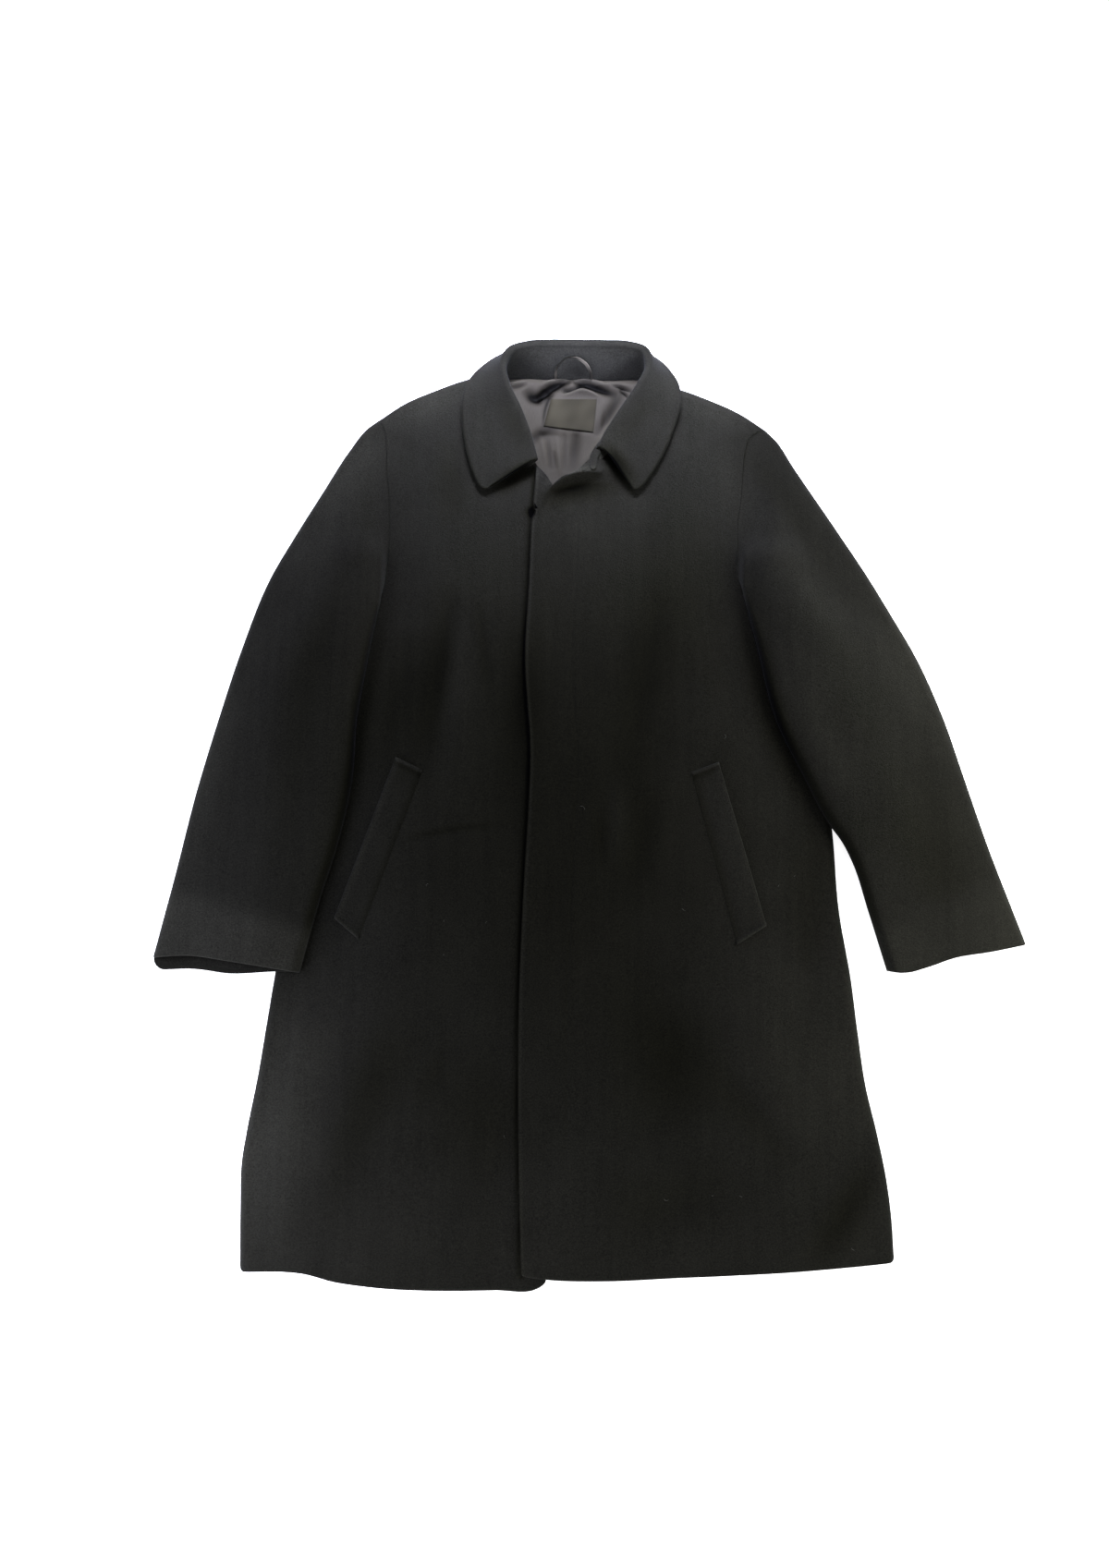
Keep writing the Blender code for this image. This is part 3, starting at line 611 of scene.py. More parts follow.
def makeFront(name, piece, side):
    # shell whose free front edge and hem are thicker, where the cloth is turned in
    up = shares(body["length"], edgeGaps, foldGaps, body["step"], np.arange(*body["neckRows"]))
    if side < 0:
        across = shares(piece["breadth"], foldGaps, edgeGaps, body["step"])
    else:
        low = neckCorner(piece, np.array([0.5]))[1] * piece["breadth"]  # column through the neck's lowest point
        extra = np.concatenate([[low]] + [np.arange(*run) for run in piece["neckColumns"]])
        across = shares(piece["breadth"], edgeGaps, foldGaps, body["step"], extra)
    face = frontFace(piece, side, across, up)
    left, right, low = runs(face)[:3]
    free = right if side < 0 else left
    wall = body["wall"] + ridge(body["edgeWall"], free) + ridge(body["hemWall"], low)
    face[..., 2] += ridge(body["edgeRidge"], free) + ridge(body["hemRidge"], low)
    # painted shadow beside the lapping edge on the right front; on the left front a painted shadow along its
    # free edge with a painted highlight just inside it
    if side < 0:
        lapLine = outline(leftFront["edge"], np.linspace(0, 1, 60))
        toneAndShading = ridge(piece["lapShadow"], nearest(lapLine, face[..., 0], face[..., 1])[0])
    else:
        toneAndShading = ridge(piece["rimShading"], left) + ridge(piece["edgeShadow"], left)
    return putCloth(name, wool, shell(face, wall, piece["turns"], toneAndShading=toneAndShading))


# Back: flat on the floor, a little uneven where the coat presses on it
backPiece = {
    "hem": [(-374, -528), (-28, -528), (326, -510)],
    "creases": [
        (-150, 250, -120, 100, -140, -80, 26, 22, 1.1), (60, 200, 40, 40, 66, -160, 22, 30, 1.2),
        (-240, -180, -210, -330, -232, -480, 30, 24, 1.0), (150, -120, 176, -300, 150, -460, 26, 34, 1.2),
        (-60, 330, -20, 300, 60, 330, 18, 24, 0.9), (-40, -200, -10, -330, -36, -500, 20, 16, 0.8)],
    "breadth": 700.0, "step": 7.0,
    "turnOut": 6.0, "turnOutPower": 9, "turnOutAt": (248, 36),  # seam turned out under the armholes
}


def makeBack(piece):
    # flat sheet; its creases lift the underside a little off the floor
    across = shares(piece["breadth"], seamGaps, seamGaps, piece["step"])
    up = shares(body["length"], seamGaps, seamGaps, piece["step"])
    right, left = bodySide(-1), bodySide(1)
    right[0], left[0] = piece["hem"][0], piece["hem"][-1]
    upper = shoulderLine(-1) + body["neckBack"][::-1] + shoulderLine(1)[::-1]
    plan = patch(outline(piece["hem"], across), outline(upper, across), outline(right, up),
                 outline(left, up), across, up)
    sides = 2 * across[None, :] - 1
    fromHem = np.linalg.norm(plan - plan[:1], axis=-1)
    sideGaps = (1 - np.abs(sides)) * (piece["breadth"] / 2)
    plan[..., 1] += corner(sideGaps, body["corner"]) * np.exp(-fromHem / body["cornerRun"])
    turnOut = piece["turnOut"] * sides ** piece["turnOutPower"]
    plan[..., 0] += turnOut * bell(plan[..., 1], *piece["turnOutAt"])
    lift = creases(piece["creases"], plan[..., 0], plan[..., 1])
    wall = body["backWall"] - 0.5 * lift
    return putCloth("backCloth", wool, shell(np.dstack([plan, body["backWall"] + 0.5 * lift]), wall))


backCloth = makeBack(backPiece)
rightCloth = makeFront("rightFrontCloth", rightFront, -1)
leftCloth = makeFront("leftFrontCloth", leftFront, 1)
print("back and fronts made")

# Sleeves: outer and inner edge from the shoulder or underarm to the cuff; cuff from outer to inner corner
rightSleeve = {
    "outer": [(-256, 430), (-271, 426), (-291, 398), (-320, 347), (-349, 295), (-378, 239), (-405, 160),
              (-429, 72), (-449, -10), (-468, -106), (-487, -197)],
    "inner": [(-243, 236), (-247, 208), (-253, 176), (-261, 126), (-268, 77), (-271, 3), (-286, -75),
              (-301, -128), (-321, -212)],
    "cuff": [(-487, -197), (-441, -195), (-402, -200), (-321, -212)],
    "cuffShows": 14.0, "cuffLight": 0.75,
    "creases": [
        (-264, 274, -316, 121, -340, -109, 20, 24, -3.4), (-400, 120, -424, 0, -444, -110, 20, 24, 1.6),
        (-330, 300, -356, 220, -384, 130, 22, 26, 1.8), (-290, 90, -304, -20, -324, -120, 12, 14, 1.2)],
}
leftSleeve = {
    "outer": [(199, 430), (213, 417), (232, 386), (281, 309), (319, 248), (345, 202), (368, 160), (399, 85),
              (420, 17), (441, -52), (482, -171)],
    "inner": [(165, 248), (170, 225), (185, 160), (206, 75), (235, 15), (262, -38), (279, -62), (290, -85),
              (305, -134), (325, -202)],
    "cuff": [(482, -171), (439, -180), (399, -187), (367, -198), (343, -204), (325, -202)],
    "cuffShows": 0.0, "cuffLight": 0.3,
    "creases": [
        (196, 372, 218, 335, 269, 225, 16, 18, -2.4), (190, 320, 230, 226, 318, 97, 18, 20, 2.0),
        (300, 190, 346, 104, 400, 46, 22, 24, 1.6), (250, 100, 274, 44, 306, -20, 18, 16, -2.0),
        (350, 40, 376, -40, 398, -130, 22, 20, -1.8)],
}
# What both sleeves share; runs and ranges up to 1 are shares of the way down, and showAcross of the breadth
sleeveCut = {
    "breadth": 165.0, "length": 660.0, "topStep": 4.0, "underStep": 6.0,
    "closeColumns": (2, 24, 1.0), "closeRows": (600, 652, 3.0),
    "climb": 14, "climbRange": (-120, 4), "clear": 1.2, "restRange": (300, 256), "restRun": 0.045,
    "capGap": 12, "letIn": 0.4, "capRun": 0.14, "foldStart": 0.05, "seat": 0.1,
    "loft": [(0.0, 8), (0.15, 17), (0.35, 19), (0.6, 14), (0.85, 9), (1.0, 7)],
    "edgeDome": 9.5, "domePower": 0.8,
    "calm": 26, "calmRun": 0.06, "cuffRise": 0.8, "cuffSeam": (0.88, 0.905), "cuffWall": (1.2, 0, 9),
    # painted light at the top sleeve's cuff, painted shade along its armhole seam and inner edge and along the
    # under sleeve's inner edge
    "cuffLightRange": (0.865, 0.93), "capShade": (-0.55, 0, 1.9),
    "innerShade": (-0.65, 0, 8), "innerShadeRange": (0.05, 0.1), "underShade": (-0.7, 0, 5),
    "showRadius": 14, "showAcross": (1, 0.45), "showRange": (0.9, 1),
}


def sleeveRest(cut, plan, side):
    # level of what a sleeve lies on: the floor with a climb towards the body, or the fronts
    x, y = plan[..., 0], plan[..., 1]
    inside = halfWidth(y, side) - np.abs(x - body["centre"])
    climb = cut["climb"] * ease(*cut["climbRange"], inside)
    onFront = np.maximum(cut["climb"], frontTop(x, y, side) + cut["clear"])
    return np.where(inside > 0, onFront, climb) * ease(*cut["restRange"], y)


def sleevePlan(piece, side, cut, across, down):
    # plan between the armhole, the cuff and both edges, the seam let a little into the body
    flank = [row for row in bodySide(side) if row[1] > piece["inner"][0][1] + cut["capGap"]]
    cap = np.array([piece["inner"][0]] + flank, float)[::-1]
    run = np.gradient(cap, axis=0)
    aside, length = np.stack([-run[:, 1], run[:, 0]], axis=1), np.linalg.norm(run, axis=1, keepdims=True)
    cap -= side * cut["letIn"] * aside / length
    outer, inner = [tuple(cap[0])] + piece["outer"][1:], [tuple(cap[-1])] + piece["inner"][1:]
    return patch(outline(cap, across), outline(piece["cuff"], across), outline(outer, down),
                 outline(inner, down), across, down)


def makeTopSleeve(name, piece, side, cut):
    # as high as the body along the armhole, then what it lies on, plus a rounded fold along both edges, plus a
    # dome that changes down the sleeve
    across = shares(cut["breadth"], foldGaps, foldGaps, cut["topStep"])
    down = shares(cut["length"], seamGaps, edgeGaps, cut["topStep"])
    plan = sleevePlan(piece, side, cut, across, down)
    w, t = across[None, :], down[:, None]
    base = sleeveRest(cut, plan, side) * ease(0, cut["restRun"], t)
    width = np.linalg.norm(plan[:, :1] - plan[:, -1:], axis=-1)
    outerGap, innerGap = w * width, (1 - w) * width
    inner = 1 - (1 - quarter(innerGap, body["foldRun"])) * ease(0, cut["foldStart"], t)
    fold = quarter(outerGap, body["foldRun"]) * inner
    loft = through(*zip(*cut["loft"]), t.ravel())
    dome = cut["edgeDome"] + loft * np.sin(np.pi * w) ** cut["domePower"]
    arm = body["fold"] + body["loft"] * ease(0, body["loftRun"], body["sewnGap"])
    high = base + body["rim"] + cut["seat"] + fold * (arm + (dome - arm) * ease(0, cut["capRun"], t))
    calm = ease(0, cut["calm"], outerGap) * ease(0, cut["calm"], innerGap) * ease(0, cut["calmRun"], t)
    high = high + creases(piece["creases"], plan[..., 0], plan[..., 1]) * calm
    high = high + cut["cuffRise"] * ease(*cut["cuffSeam"], t) * fold
    face = np.dstack([plan, high])
    wall = body["wall"] + ridge(cut["cuffWall"], runs(face)[3])
    # painted light at the cuff, painted shade along the armhole seam and the inner edge
    toneAndShading = piece["cuffLight"] * ease(*cut["cuffLightRange"], t) + ridge(cut["capShade"], t * cut["length"])
    toneAndShading = toneAndShading + ridge(cut["innerShade"], innerGap) * ease(*cut["innerShadeRange"], t)
    return putCloth(name, wool, shell(face, wall, (1.0, 1.0, 1.0, 1.6), toneAndShading=toneAndShading))


def makeUnderSleeve(name, piece, side, cut):
    # lies on the surface below, and its cuff comes out a little
    across = shares(cut["breadth"], seamGaps, seamGaps, cut["underStep"], np.arange(*cut["closeColumns"]))
    down = shares(cut["length"], seamGaps, edgeGaps, cut["underStep"], np.arange(*cut["closeRows"]))
    plan = sleevePlan(piece, side, cut, across, down)
    shows = quarter(across * cut["breadth"], cut["showRadius"]) * ease(*cut["showAcross"], across)
    plan[..., 1] -= piece["cuffShows"] * shows[None, :] * ease(*cut["showRange"], down)[:, None]
    high = sleeveRest(cut, plan, side) * ease(0, cut["restRun"], down)[:, None] + body["backWall"]
    # painted shade along its inner edge
    toneAndShading = ridge(cut["underShade"], (1 - across) * cut["breadth"])[None, :]
    return putCloth(name, wool, shell(np.dstack([plan, high]), body["backWall"], (1.0, 1.0, 1.0, 1.1), toneAndShading=toneAndShading))


rightTop = makeTopSleeve("rightTopSleeveCloth", rightSleeve, -1, sleeveCut)
rightUnder = makeUnderSleeve("rightUnderSleeveCloth", rightSleeve, -1, sleeveCut)
leftTop = makeTopSleeve("leftTopSleeveCloth", leftSleeve, 1, sleeveCut)
leftUnder = makeUnderSleeve("leftUnderSleeveCloth", leftSleeve, 1, sleeveCut)
print("sleeves made")

# Welts: corners at the upper free, upper sewn, lower sewn and lower free end; ridge along the lower end;
# painted light on the face, painted highlights on the free edge and the ends, painted shade along the sewn edge
rightWelt = {"corners": [(-223, 30), (-192, 15), (-258, -175), (-286, -152)], "lowEnd": 0.6,
             "toneAndShading": (0.05, 0.36, 0.5, -0.3)}
leftWelt = {"corners": [(140, 28), (109, 16), (159, -176), (192, -155)], "lowEnd": 1.2,
            "toneAndShading": (0.26, 0.3, 0.6, -0.2)}
weltCut = {
    "breadth": 33.0, "length": 190.0, "acrossStep": 2.5, "alongStep": 4.0, "clear": 0.1,
    "thin": 0.3, "rise": 2.4, "ridge": 0.8, "edgeShare": 0.7,
    # distance from the edge, half width
    "endAt": (2.4, 2.0), "edgeAt": (2.8, 2.2), "lowEndAt": (2.0, 2.6),
    "faceLightAt": (12, 12), "edgeHighlightAt": (3.5, 3.2), "endHighlightAt": (1.8, 2.0), "sewnShadeAt": (0, 5),
    # painted shadow line below the ridge of the upper end
    "endShadowLine": (-0.35, 6.2, 1.8),
}


def makeWelt(name, piece, side, cut):
    # strip on its front: thin at the sewn edge, rising to the free edge, with a soft ridge along the free edge
    # and the ends
    u = shares(cut["breadth"], edgeGaps, seamGaps, cut["acrossStep"])[None, :]
    v = shares(cut["length"], edgeGaps, edgeGaps, cut["alongStep"])[:, None]
    plan = between(piece["corners"], u, v)
    fromEdge, fromEnds = u * cut["breadth"], np.minimum(v, 1 - v) * cut["length"]
    ends = bell(fromEnds, *cut["endAt"]) + cut["edgeShare"] * bell(fromEdge, *cut["edgeAt"])
    lowEnd = piece["lowEnd"] * bell((1 - v) * cut["length"], *cut["lowEndAt"])
    rise = cut["thin"] + cut["rise"] * ease(0, 1, 1 - u) + cut["ridge"] * ends + lowEnd
    ground = frontTop(plan[..., 0], plan[..., 1], side) + cut["clear"]
    # painted light on the face, painted highlights on the free edge and the ends, painted shade below the upper
    # end and along the sewn edge
    face, edge, end, sewn = piece["toneAndShading"]
    toneAndShading = face * bell(fromEdge, *cut["faceLightAt"]) * ease(0, 0.2, v) * ease(1, 0.6, v)
    toneAndShading = toneAndShading + edge * bell(fromEdge, *cut["edgeHighlightAt"]) + end * bell(fromEnds, *cut["endHighlightAt"])
    toneAndShading = toneAndShading + ridge(cut["endShadowLine"], v * cut["length"])
    toneAndShading = toneAndShading + sewn * bell((1 - u) * cut["breadth"], *cut["sewnShadeAt"])
    return putCloth(name, wool, shell(np.dstack([plan, ground + rise]), rise, (1.6, 0.8, 1.3, 1.3), toneAndShading=toneAndShading))


rightWeltCloth = makeWelt("rightWeltCloth", rightWelt, -1, weltCut)
leftWeltCloth = makeWelt("leftWeltCloth", leftWelt, 1, weltCut)
print("welts made")

# Collar from the right front end round the back to the left one: foot, fold and outer edge, each x, y, z
collarPiece = {
    "wall": 3.0, "bend": 3.4, "bendSteps": 14, "dome": 2.2, "domePower": 0.9, "tip": 9.0,
    "length": 430.0, "lengthStep": 2.8, "standHeight": 34.0, "standStep": 2.4,
    "fallLength": 60.0, "fallStep": 2.6,
    # front edges of the fall, on the wearer's right and left: way round, bulge, lift
    "fronts": [(1, 1.5, 3.0), (-1, 4.5, 5.0)], "frontRun": 18, "archSkew": 0.75, "archPower": 0.8,
    # painted shade on the rim of the fall
    "rimWall": (0.8, 3.2, 2.6), "rimShading": (-0.5, 0, 2.0),
    # inside, the stand gets painted light, with painted shade in a wedge at each corner of the neck and a
    # painted shadow under the loop
    "inside": 0.9, "insideEnd": (7, -4), "wedge": 0.75,
    "wedges": [(-24, -66, -48), (-6, 20, 46)],  # x of its start and end at the foot, lean up the stand
    "wedgeLevels": (468, 484), "loopShade": (1.2, -21, 13), "loopShadeUp": (0.3, 0.3),
    "rows": [
        (-77, 374, 24, -69, 378, 33, -132.5, 340.5, 26), (-87, 400, 24, -77, 408, 35, -147, 374, 27),
        (-102, 434, 23, -90, 441, 38, -157, 424, 25), (-115, 466, 21, -103, 468, 41, -157, 462, 22),
        (-119, 486, 12, -108, 492, 42, -147, 490, 14), (-106, 492, 5.5, -101, 509, 43, -126, 513, 7),
        (-80, 492.5, 4.1, -80, 517, 43, -92, 531, 4.5), (-52, 492.5, 4.1, -54, 519, 43, -58, 536, 4.5),
        (-24, 492.5, 4.1, -24, 519, 43, -24, 537, 4.5), (4, 492.5, 4.1, 8, 519, 43, 12, 536, 4.5),
        (31, 492.5, 4.1, 36, 518, 43, 46, 532, 4.5), (52, 492, 5.5, 55, 511, 43, 77, 513, 7),
        (63, 486, 13, 58, 493, 42, 93, 490, 14), (57, 466, 22.5, 46, 467, 41, 99, 461, 22),
        (43, 434, 25.5, 26, 437, 38, 91, 423, 25), (24, 404, 26.5, 9, 409, 35, 71, 376, 27),
        (2, 377, 27.5, 1, 392, 34, 47.5, 339, 26)],
    # end of the stand, which comes out in front of the fall on the wearer's left: x, y, z
    "tab": [(10, 404, 31), (1.5, 392, 33.5), (-3.5, 380, 35.5), (-4.5, 366, 36)],
    "tabWidth": 11.0, "tabLength": 40.0, "tabStep": 2.0, "tabColumns": 15,
    "tabTip": 0.06, "tabDome": (0, 0, 1.6),
}


def collarSections(at):
    # foot, fold and outer edge at shares of the way round
    rows = np.asarray(collarPiece["rows"], float)
    steps = np.linalg.norm(np.diff(rows[:, 3:6], axis=0), axis=1)
    found = through(np.concatenate([[0], np.cumsum(steps)]) / steps.sum(), rows, at)
    return found[:, :3], found[:, 3:6], found[:, 6:]


def collarBend(foot, fold, edge):
    # unit direction in which the fold points, and the unit direction across it towards the fall
    out = fold - (foot + edge) / 2
    out /= np.linalg.norm(out, axis=1, keepdims=True)
    over = edge - foot
    over -= np.sum(over * out, axis=1, keepdims=True) * out
    return out, over / np.linalg.norm(over, axis=1, keepdims=True)


def collarTab(piece):
    # narrow strip along its line with a round end, a little domed across
    length = piece["tabLength"]
    along = shares(length, edgeGaps, edgeGaps, piece["tabStep"])
    line = outline(piece["tab"], along)
    way = np.gradient(line[:, :2], axis=0)
    aside = np.stack([-way[:, 1], way[:, 0], 0 * along], axis=1) / np.linalg.norm(way, axis=1)[:, None]
    half = piece["tabWidth"] / 2
    reach = half * np.maximum(quarter((1 - along) * length, half), piece["tabTip"])
    u = np.linspace(-1, 1, piece["tabColumns"])
    grid = line[:, None] + aside[:, None] * (reach[:, None] * u)[..., None]
    grid = grid - piece["tabDome"] * (u ** 2)[None, :, None]
    return shell(grid, piece["wall"], (1.3, 1.3, 1.0, 1.3))


def makeCollar(piece):
    # standing part from the foot, half circle over the fold, then the fall, a little domed and with round tips
    along = shares(piece["length"], edgeGaps, edgeGaps, piece["lengthStep"])
    foot, fold, edge = collarSections(along)
    out, over = collarBend(foot, fold, edge)
    bend = piece["bend"]
    middle = fold - bend * out
    a = np.linspace(0, np.pi, piece["bendSteps"])[None, :, None]
    turn = middle[:, None] + bend * (np.sin(a) * out[:, None] - np.cos(a) * over[:, None])
    s = shares(piece["standHeight"], seamGaps, [0.0], piece["standStep"])[None, :, None]
    stand = foot[:, None] + (turn[:, :1] - foot[:, None]) * s
    fall = edge - turn[:, -1]
    ends = np.minimum(along, 1 - along) * piece["length"]
    fall = fall * (1 - corner(ends, piece["tip"]) / np.linalg.norm(fall, axis=1))[:, None]
    f = shares(piece["fallLength"], [0.0], edgeGaps, piece["fallStep"])
    leaf = turn[:, -1:] + fall[:, None] * f[None, :, None]
    way = np.gradient(leaf, axis=0)
    way /= np.linalg.norm(way, axis=-1, keepdims=True)
    arch = np.sin(np.pi * f ** piece["archSkew"]) ** piece["archPower"]
    for sign, bulge, lift in piece["fronts"]:
        end = (along if sign > 0 else 1 - along) * piece["length"]
        near = np.exp(-end / piece["frontRun"])[:, None, None] * arch[None, :, None]
        leaf = leaf + near * (sign * bulge * way + np.array([0, 0, lift]))
    grid = np.concatenate([stand[:, :-1], turn, leaf[:, 1:]], axis=1)
    dome = np.zeros(grid.shape[1])
    dome[-len(f):] = piece["dome"] * np.sin(np.pi * f) ** piece["domePower"]
    grid = grid + facing(grid) * dome[None, :, None]
    rim = np.min(runs(grid)[1:], axis=0)
    wall = piece["wall"] + ridge(piece["rimWall"], rim)
    height = np.ones(grid.shape[1])
    height[:s.shape[1] - 1] = s[0, :-1, 0]
    x, y = foot[:, :1], foot[:, 1:2]
    # painted shade: a wedge at each corner of the neck and a shadow under the loop
    shade = sum(ease(start + lean * height, end + lean * height, x) for start, end, lean in piece["wedges"])
    shade = shade * ease(*piece["wedgeLevels"], y)
    shade = shade + ridge(piece["loopShade"], x) * bell(height, *piece["loopShadeUp"])
    first, last = (stand.shape[1] + columns for columns in piece["insideEnd"])
    inside = ease(first, last, np.arange(grid.shape[1]))[None, :]
    # painted light on the stand's inside, painted shade on the rim
    toneAndShading = (piece["inside"] - piece["wedge"] * shade) * inside + ridge(piece["rimShading"], rim)
    sheet = shell(grid, wall, (0.8, 1.7, 1.7, 1.7), seat=0, toneAndShading=toneAndShading)
    return putCloth("collarCloth", wool, sheet, collarTab(piece))


collarCloth = makeCollar(collarPiece)
print("collar made")

# Lining in the neck: level above the back and its wrinkles, in the same form as the creases
liningPiece = {
    "across": (-119, 63), "along": (302, 491), "step": 1.6, "corner": 7.0, "cornerRange": (420, 491),
    "wall": 0.8, "level": 4.4, "puff": 6.5, "puffRange": (492, 482), "lowest": -0.9,
    # how flat it lies under the label, whose left, right, lower and upper edge each fade over a range
    "calm": 0.95, "calmEdges": [(-70, -63), (11, 4), (416, 423), (469, 463)],
    "troughShade": 0.22, "ridgeHighlight": 0.08, "shadingRange": (-0.95, 0.45), "tone": -0.03,
    "creases": [
        (-84, 476, -71, 464, -57, 476, 7.5, 7, -6.0), (-69, 464, -52, 479, -30, 487, 6, 6, -6.6),
        (-28, 486, -4, 480, 25, 469, 5.4, 5.4, -6.8), (-42, 478, -30, 474.5, -14, 484, 3, 3, -4.6),
        (18, 483, 30.5, 478.5, 44, 473, 1.5, 1.5, -4.4), (27, 476, 32.5, 472, 39, 465, 1.4, 1.4, -3.8),
        (-105, 477, -93.5, 479, -82, 484, 2.4, 2.4, -2.8), (32, 482, 17.5, 449, -3, 418, 6.5, 7, -3.2),
        (-79, 406, -65, 420, -44, 427, 6, 6, -3.4), (-22, 430, -24.5, 405, -28, 370, 6, 6, -2.4),
        (-51, 470, -60, 452.5, -62.5, 425, 2.0, 2.0, -3.6), (-57, 416, -55, 392, -52, 374, 2.8, 2.8, -1.9),
        (-51, 400, -49, 389, -47, 376, 2, 2, -1.6), (-38, 424, -36, 400, -38, 372, 2, 2.5, -1.2),
        (-104, 482, -84, 488, -60, 488, 2.8, 2.8, 2.2), (-64, 484, -48, 489, -32, 490, 2.4, 2.4, 5.5),
        (-28, 489, -12, 490, 8, 487, 2.6, 2.6, 5.5), (-40, 467, -17, 475, 6, 466, 2.0, 2.0, 4.0),
        (-40, 463, -17, 468, 6, 461, 4, 4, -1.6),
        (2, 484, 18, 486, 40, 480, 2.6, 2.6, 2.2), (31, 458, 12.5, 426.5, -16, 382, 3.6, 3.6, 2.8),
        (-47, 418, -44, 397, -41, 369, 3, 3, 1.6), (-67, 422, -62, 402, -57, 380, 3, 3, 1.4)],
    "sway": [(0.2, 61, 0.3, 0.5), (1.2, 44, 2.2, 0.4), (2.4, 33, 1.0, 0.25)],
}


def liningTop(piece, x, y):
    # level, rising away from the neck seam, plus wrinkles, calm under the label, never through the back
    puff = piece["puff"] * ease(*piece["puffRange"], y)
    left, right, low, high = piece["calmEdges"]
    calm = ease(*left, x) * ease(*right, x) * ease(*low, y) * ease(*high, y)
    folds = creases(piece["creases"], x, y) + sway(x, y, piece["sway"])
    return piece["level"] + np.maximum(puff + folds * (1 - piece["calm"] * calm), piece["lowest"])


def makeLining(piece):
    # sheet over the back of the neck, with painted shade in its troughs and a little painted highlight on its
    # ridges
    (left, right), (low, high) = piece["across"], piece["along"]
    x = left + (right - left) * shares(right - left, seamGaps, seamGaps, piece["step"])
    y = low + (high - low) * shares(high - low, seamGaps, seamGaps, piece["step"])
    x, y = np.meshgrid(x, y)
    y = y - corner(np.minimum(x - left, right - x), piece["corner"]) * ease(*piece["cornerRange"], y)
    folds = creases(piece["creases"], x, y)
    toneAndShading = np.where(folds < 0, piece["troughShade"], piece["ridgeHighlight"]) * folds
    toneAndShading = np.clip(toneAndShading, *piece["shadingRange"]) + piece["tone"] - toneAndShadingAt(x, y)  # take off the wool's tone and painted shading rows, which shell adds
    face = np.dstack([x, y, liningTop(piece, x, y)])
    return putCloth("liningCloth", satin, shell(face, piece["wall"], (0.6, 0.6, 0.6, 0.6), toneAndShading=toneAndShading))


liningCloth = makeLining(liningPiece)

# Label: corners from the lower left one round by the lower right one
labelPiece = {
    "corners": [(-62, 429), (-3.5, 422), (0.5, 463.5), (-54, 463)],
    "breadth": 62.0, "length": 40.0, "step": 1.2, "wall": 0.6, "lift": 0.5,
    "wave": 0.35, "waveRuns": (9.0, 14.0),
    # painted shade along its left end and its lower edge, where the ribbon is turned under, with slow patches
    # of its own tone
    "endShade": (-0.4, 1, 2.6), "lowShade": (-0.45, 0, 1.6), "tone": -0.04,
    "patches": [(0.4, 31, 0.5, 0.08), (1.9, 23, 2.0, 0.07), (2.7, 17, 1.0, 0.05)],
    # painted shadow over its upper middle and painted light along its left part
    "upperShade": (-0.3, 0.55, 0.2), "darkRange": (0.4, 1), "paleLight": (0.2, 0.16, 0.2),
}


def labelTop(piece, x, y):
    # lies on the lining, with slow waves of its own
    (runX, runY), wave = piece["waveRuns"], piece["wave"]
    level = liningTop(liningPiece, x, y) + piece["lift"] + piece["wall"]
    return level + wave + wave * np.sin(x / runX + y / runY)


def makeLabel(piece):
    # ribbon between its four corners
    breadth, length, step = piece["breadth"], piece["length"], piece["step"]
    u, v = shares(breadth, seamGaps, seamGaps, step)[None, :], shares(length, seamGaps, seamGaps, step)[:, None]
    plan = between(piece["corners"], u, v)
    x, y = plan[..., 0], plan[..., 1]
    toneAndShading = ridge(piece["endShade"], u * breadth) + ridge(piece["lowShade"], v * length) - toneAndShadingAt(x, y)
    toneAndShading = toneAndShading + piece["tone"] + sway(x, y, piece["patches"])
    toneAndShading = toneAndShading + ridge(piece["upperShade"], u) * ease(*piece["darkRange"], v) + ridge(piece["paleLight"], u)
    face = np.dstack([plan, labelTop(piece, x, y)])
    return putCloth("labelCloth", woven, shell(face, piece["wall"], (0.4, 0.4, 0.4, 0.4), toneAndShading=toneAndShading))


labelCloth = makeLabel(labelPiece)

# Hanging loop inside the standing collar: x, share of the way up, turn out of the stand's face in degrees
loopPiece = {
    "line": [(-48, 0.03, 60), (-48.5, 0.22, 55), (-46, 0.46, 66), (-39, 0.66, 70), (-30, 0.75, 55),
             (-21, 0.71, 34), (-14, 0.58, 26), (-9, 0.38, 40), (-6, 0.04, 70)],
    "width": 4.8, "wall": 0.9, "clear": 2.2, "lift": 3.0, "steps": 60, "edgeGaps": [0, 0.1, 0.3, 0.6],
    "gloss": [(2.5, 0.63, 0.12), (1.4, 0.07, 0.08)],  # painted highlight along its upper right and at its foot
    # shade is painted shade on its left leg
    "tone": -0.3, "shade": -0.45, "shadeRange": (0.47, 0.37),
}


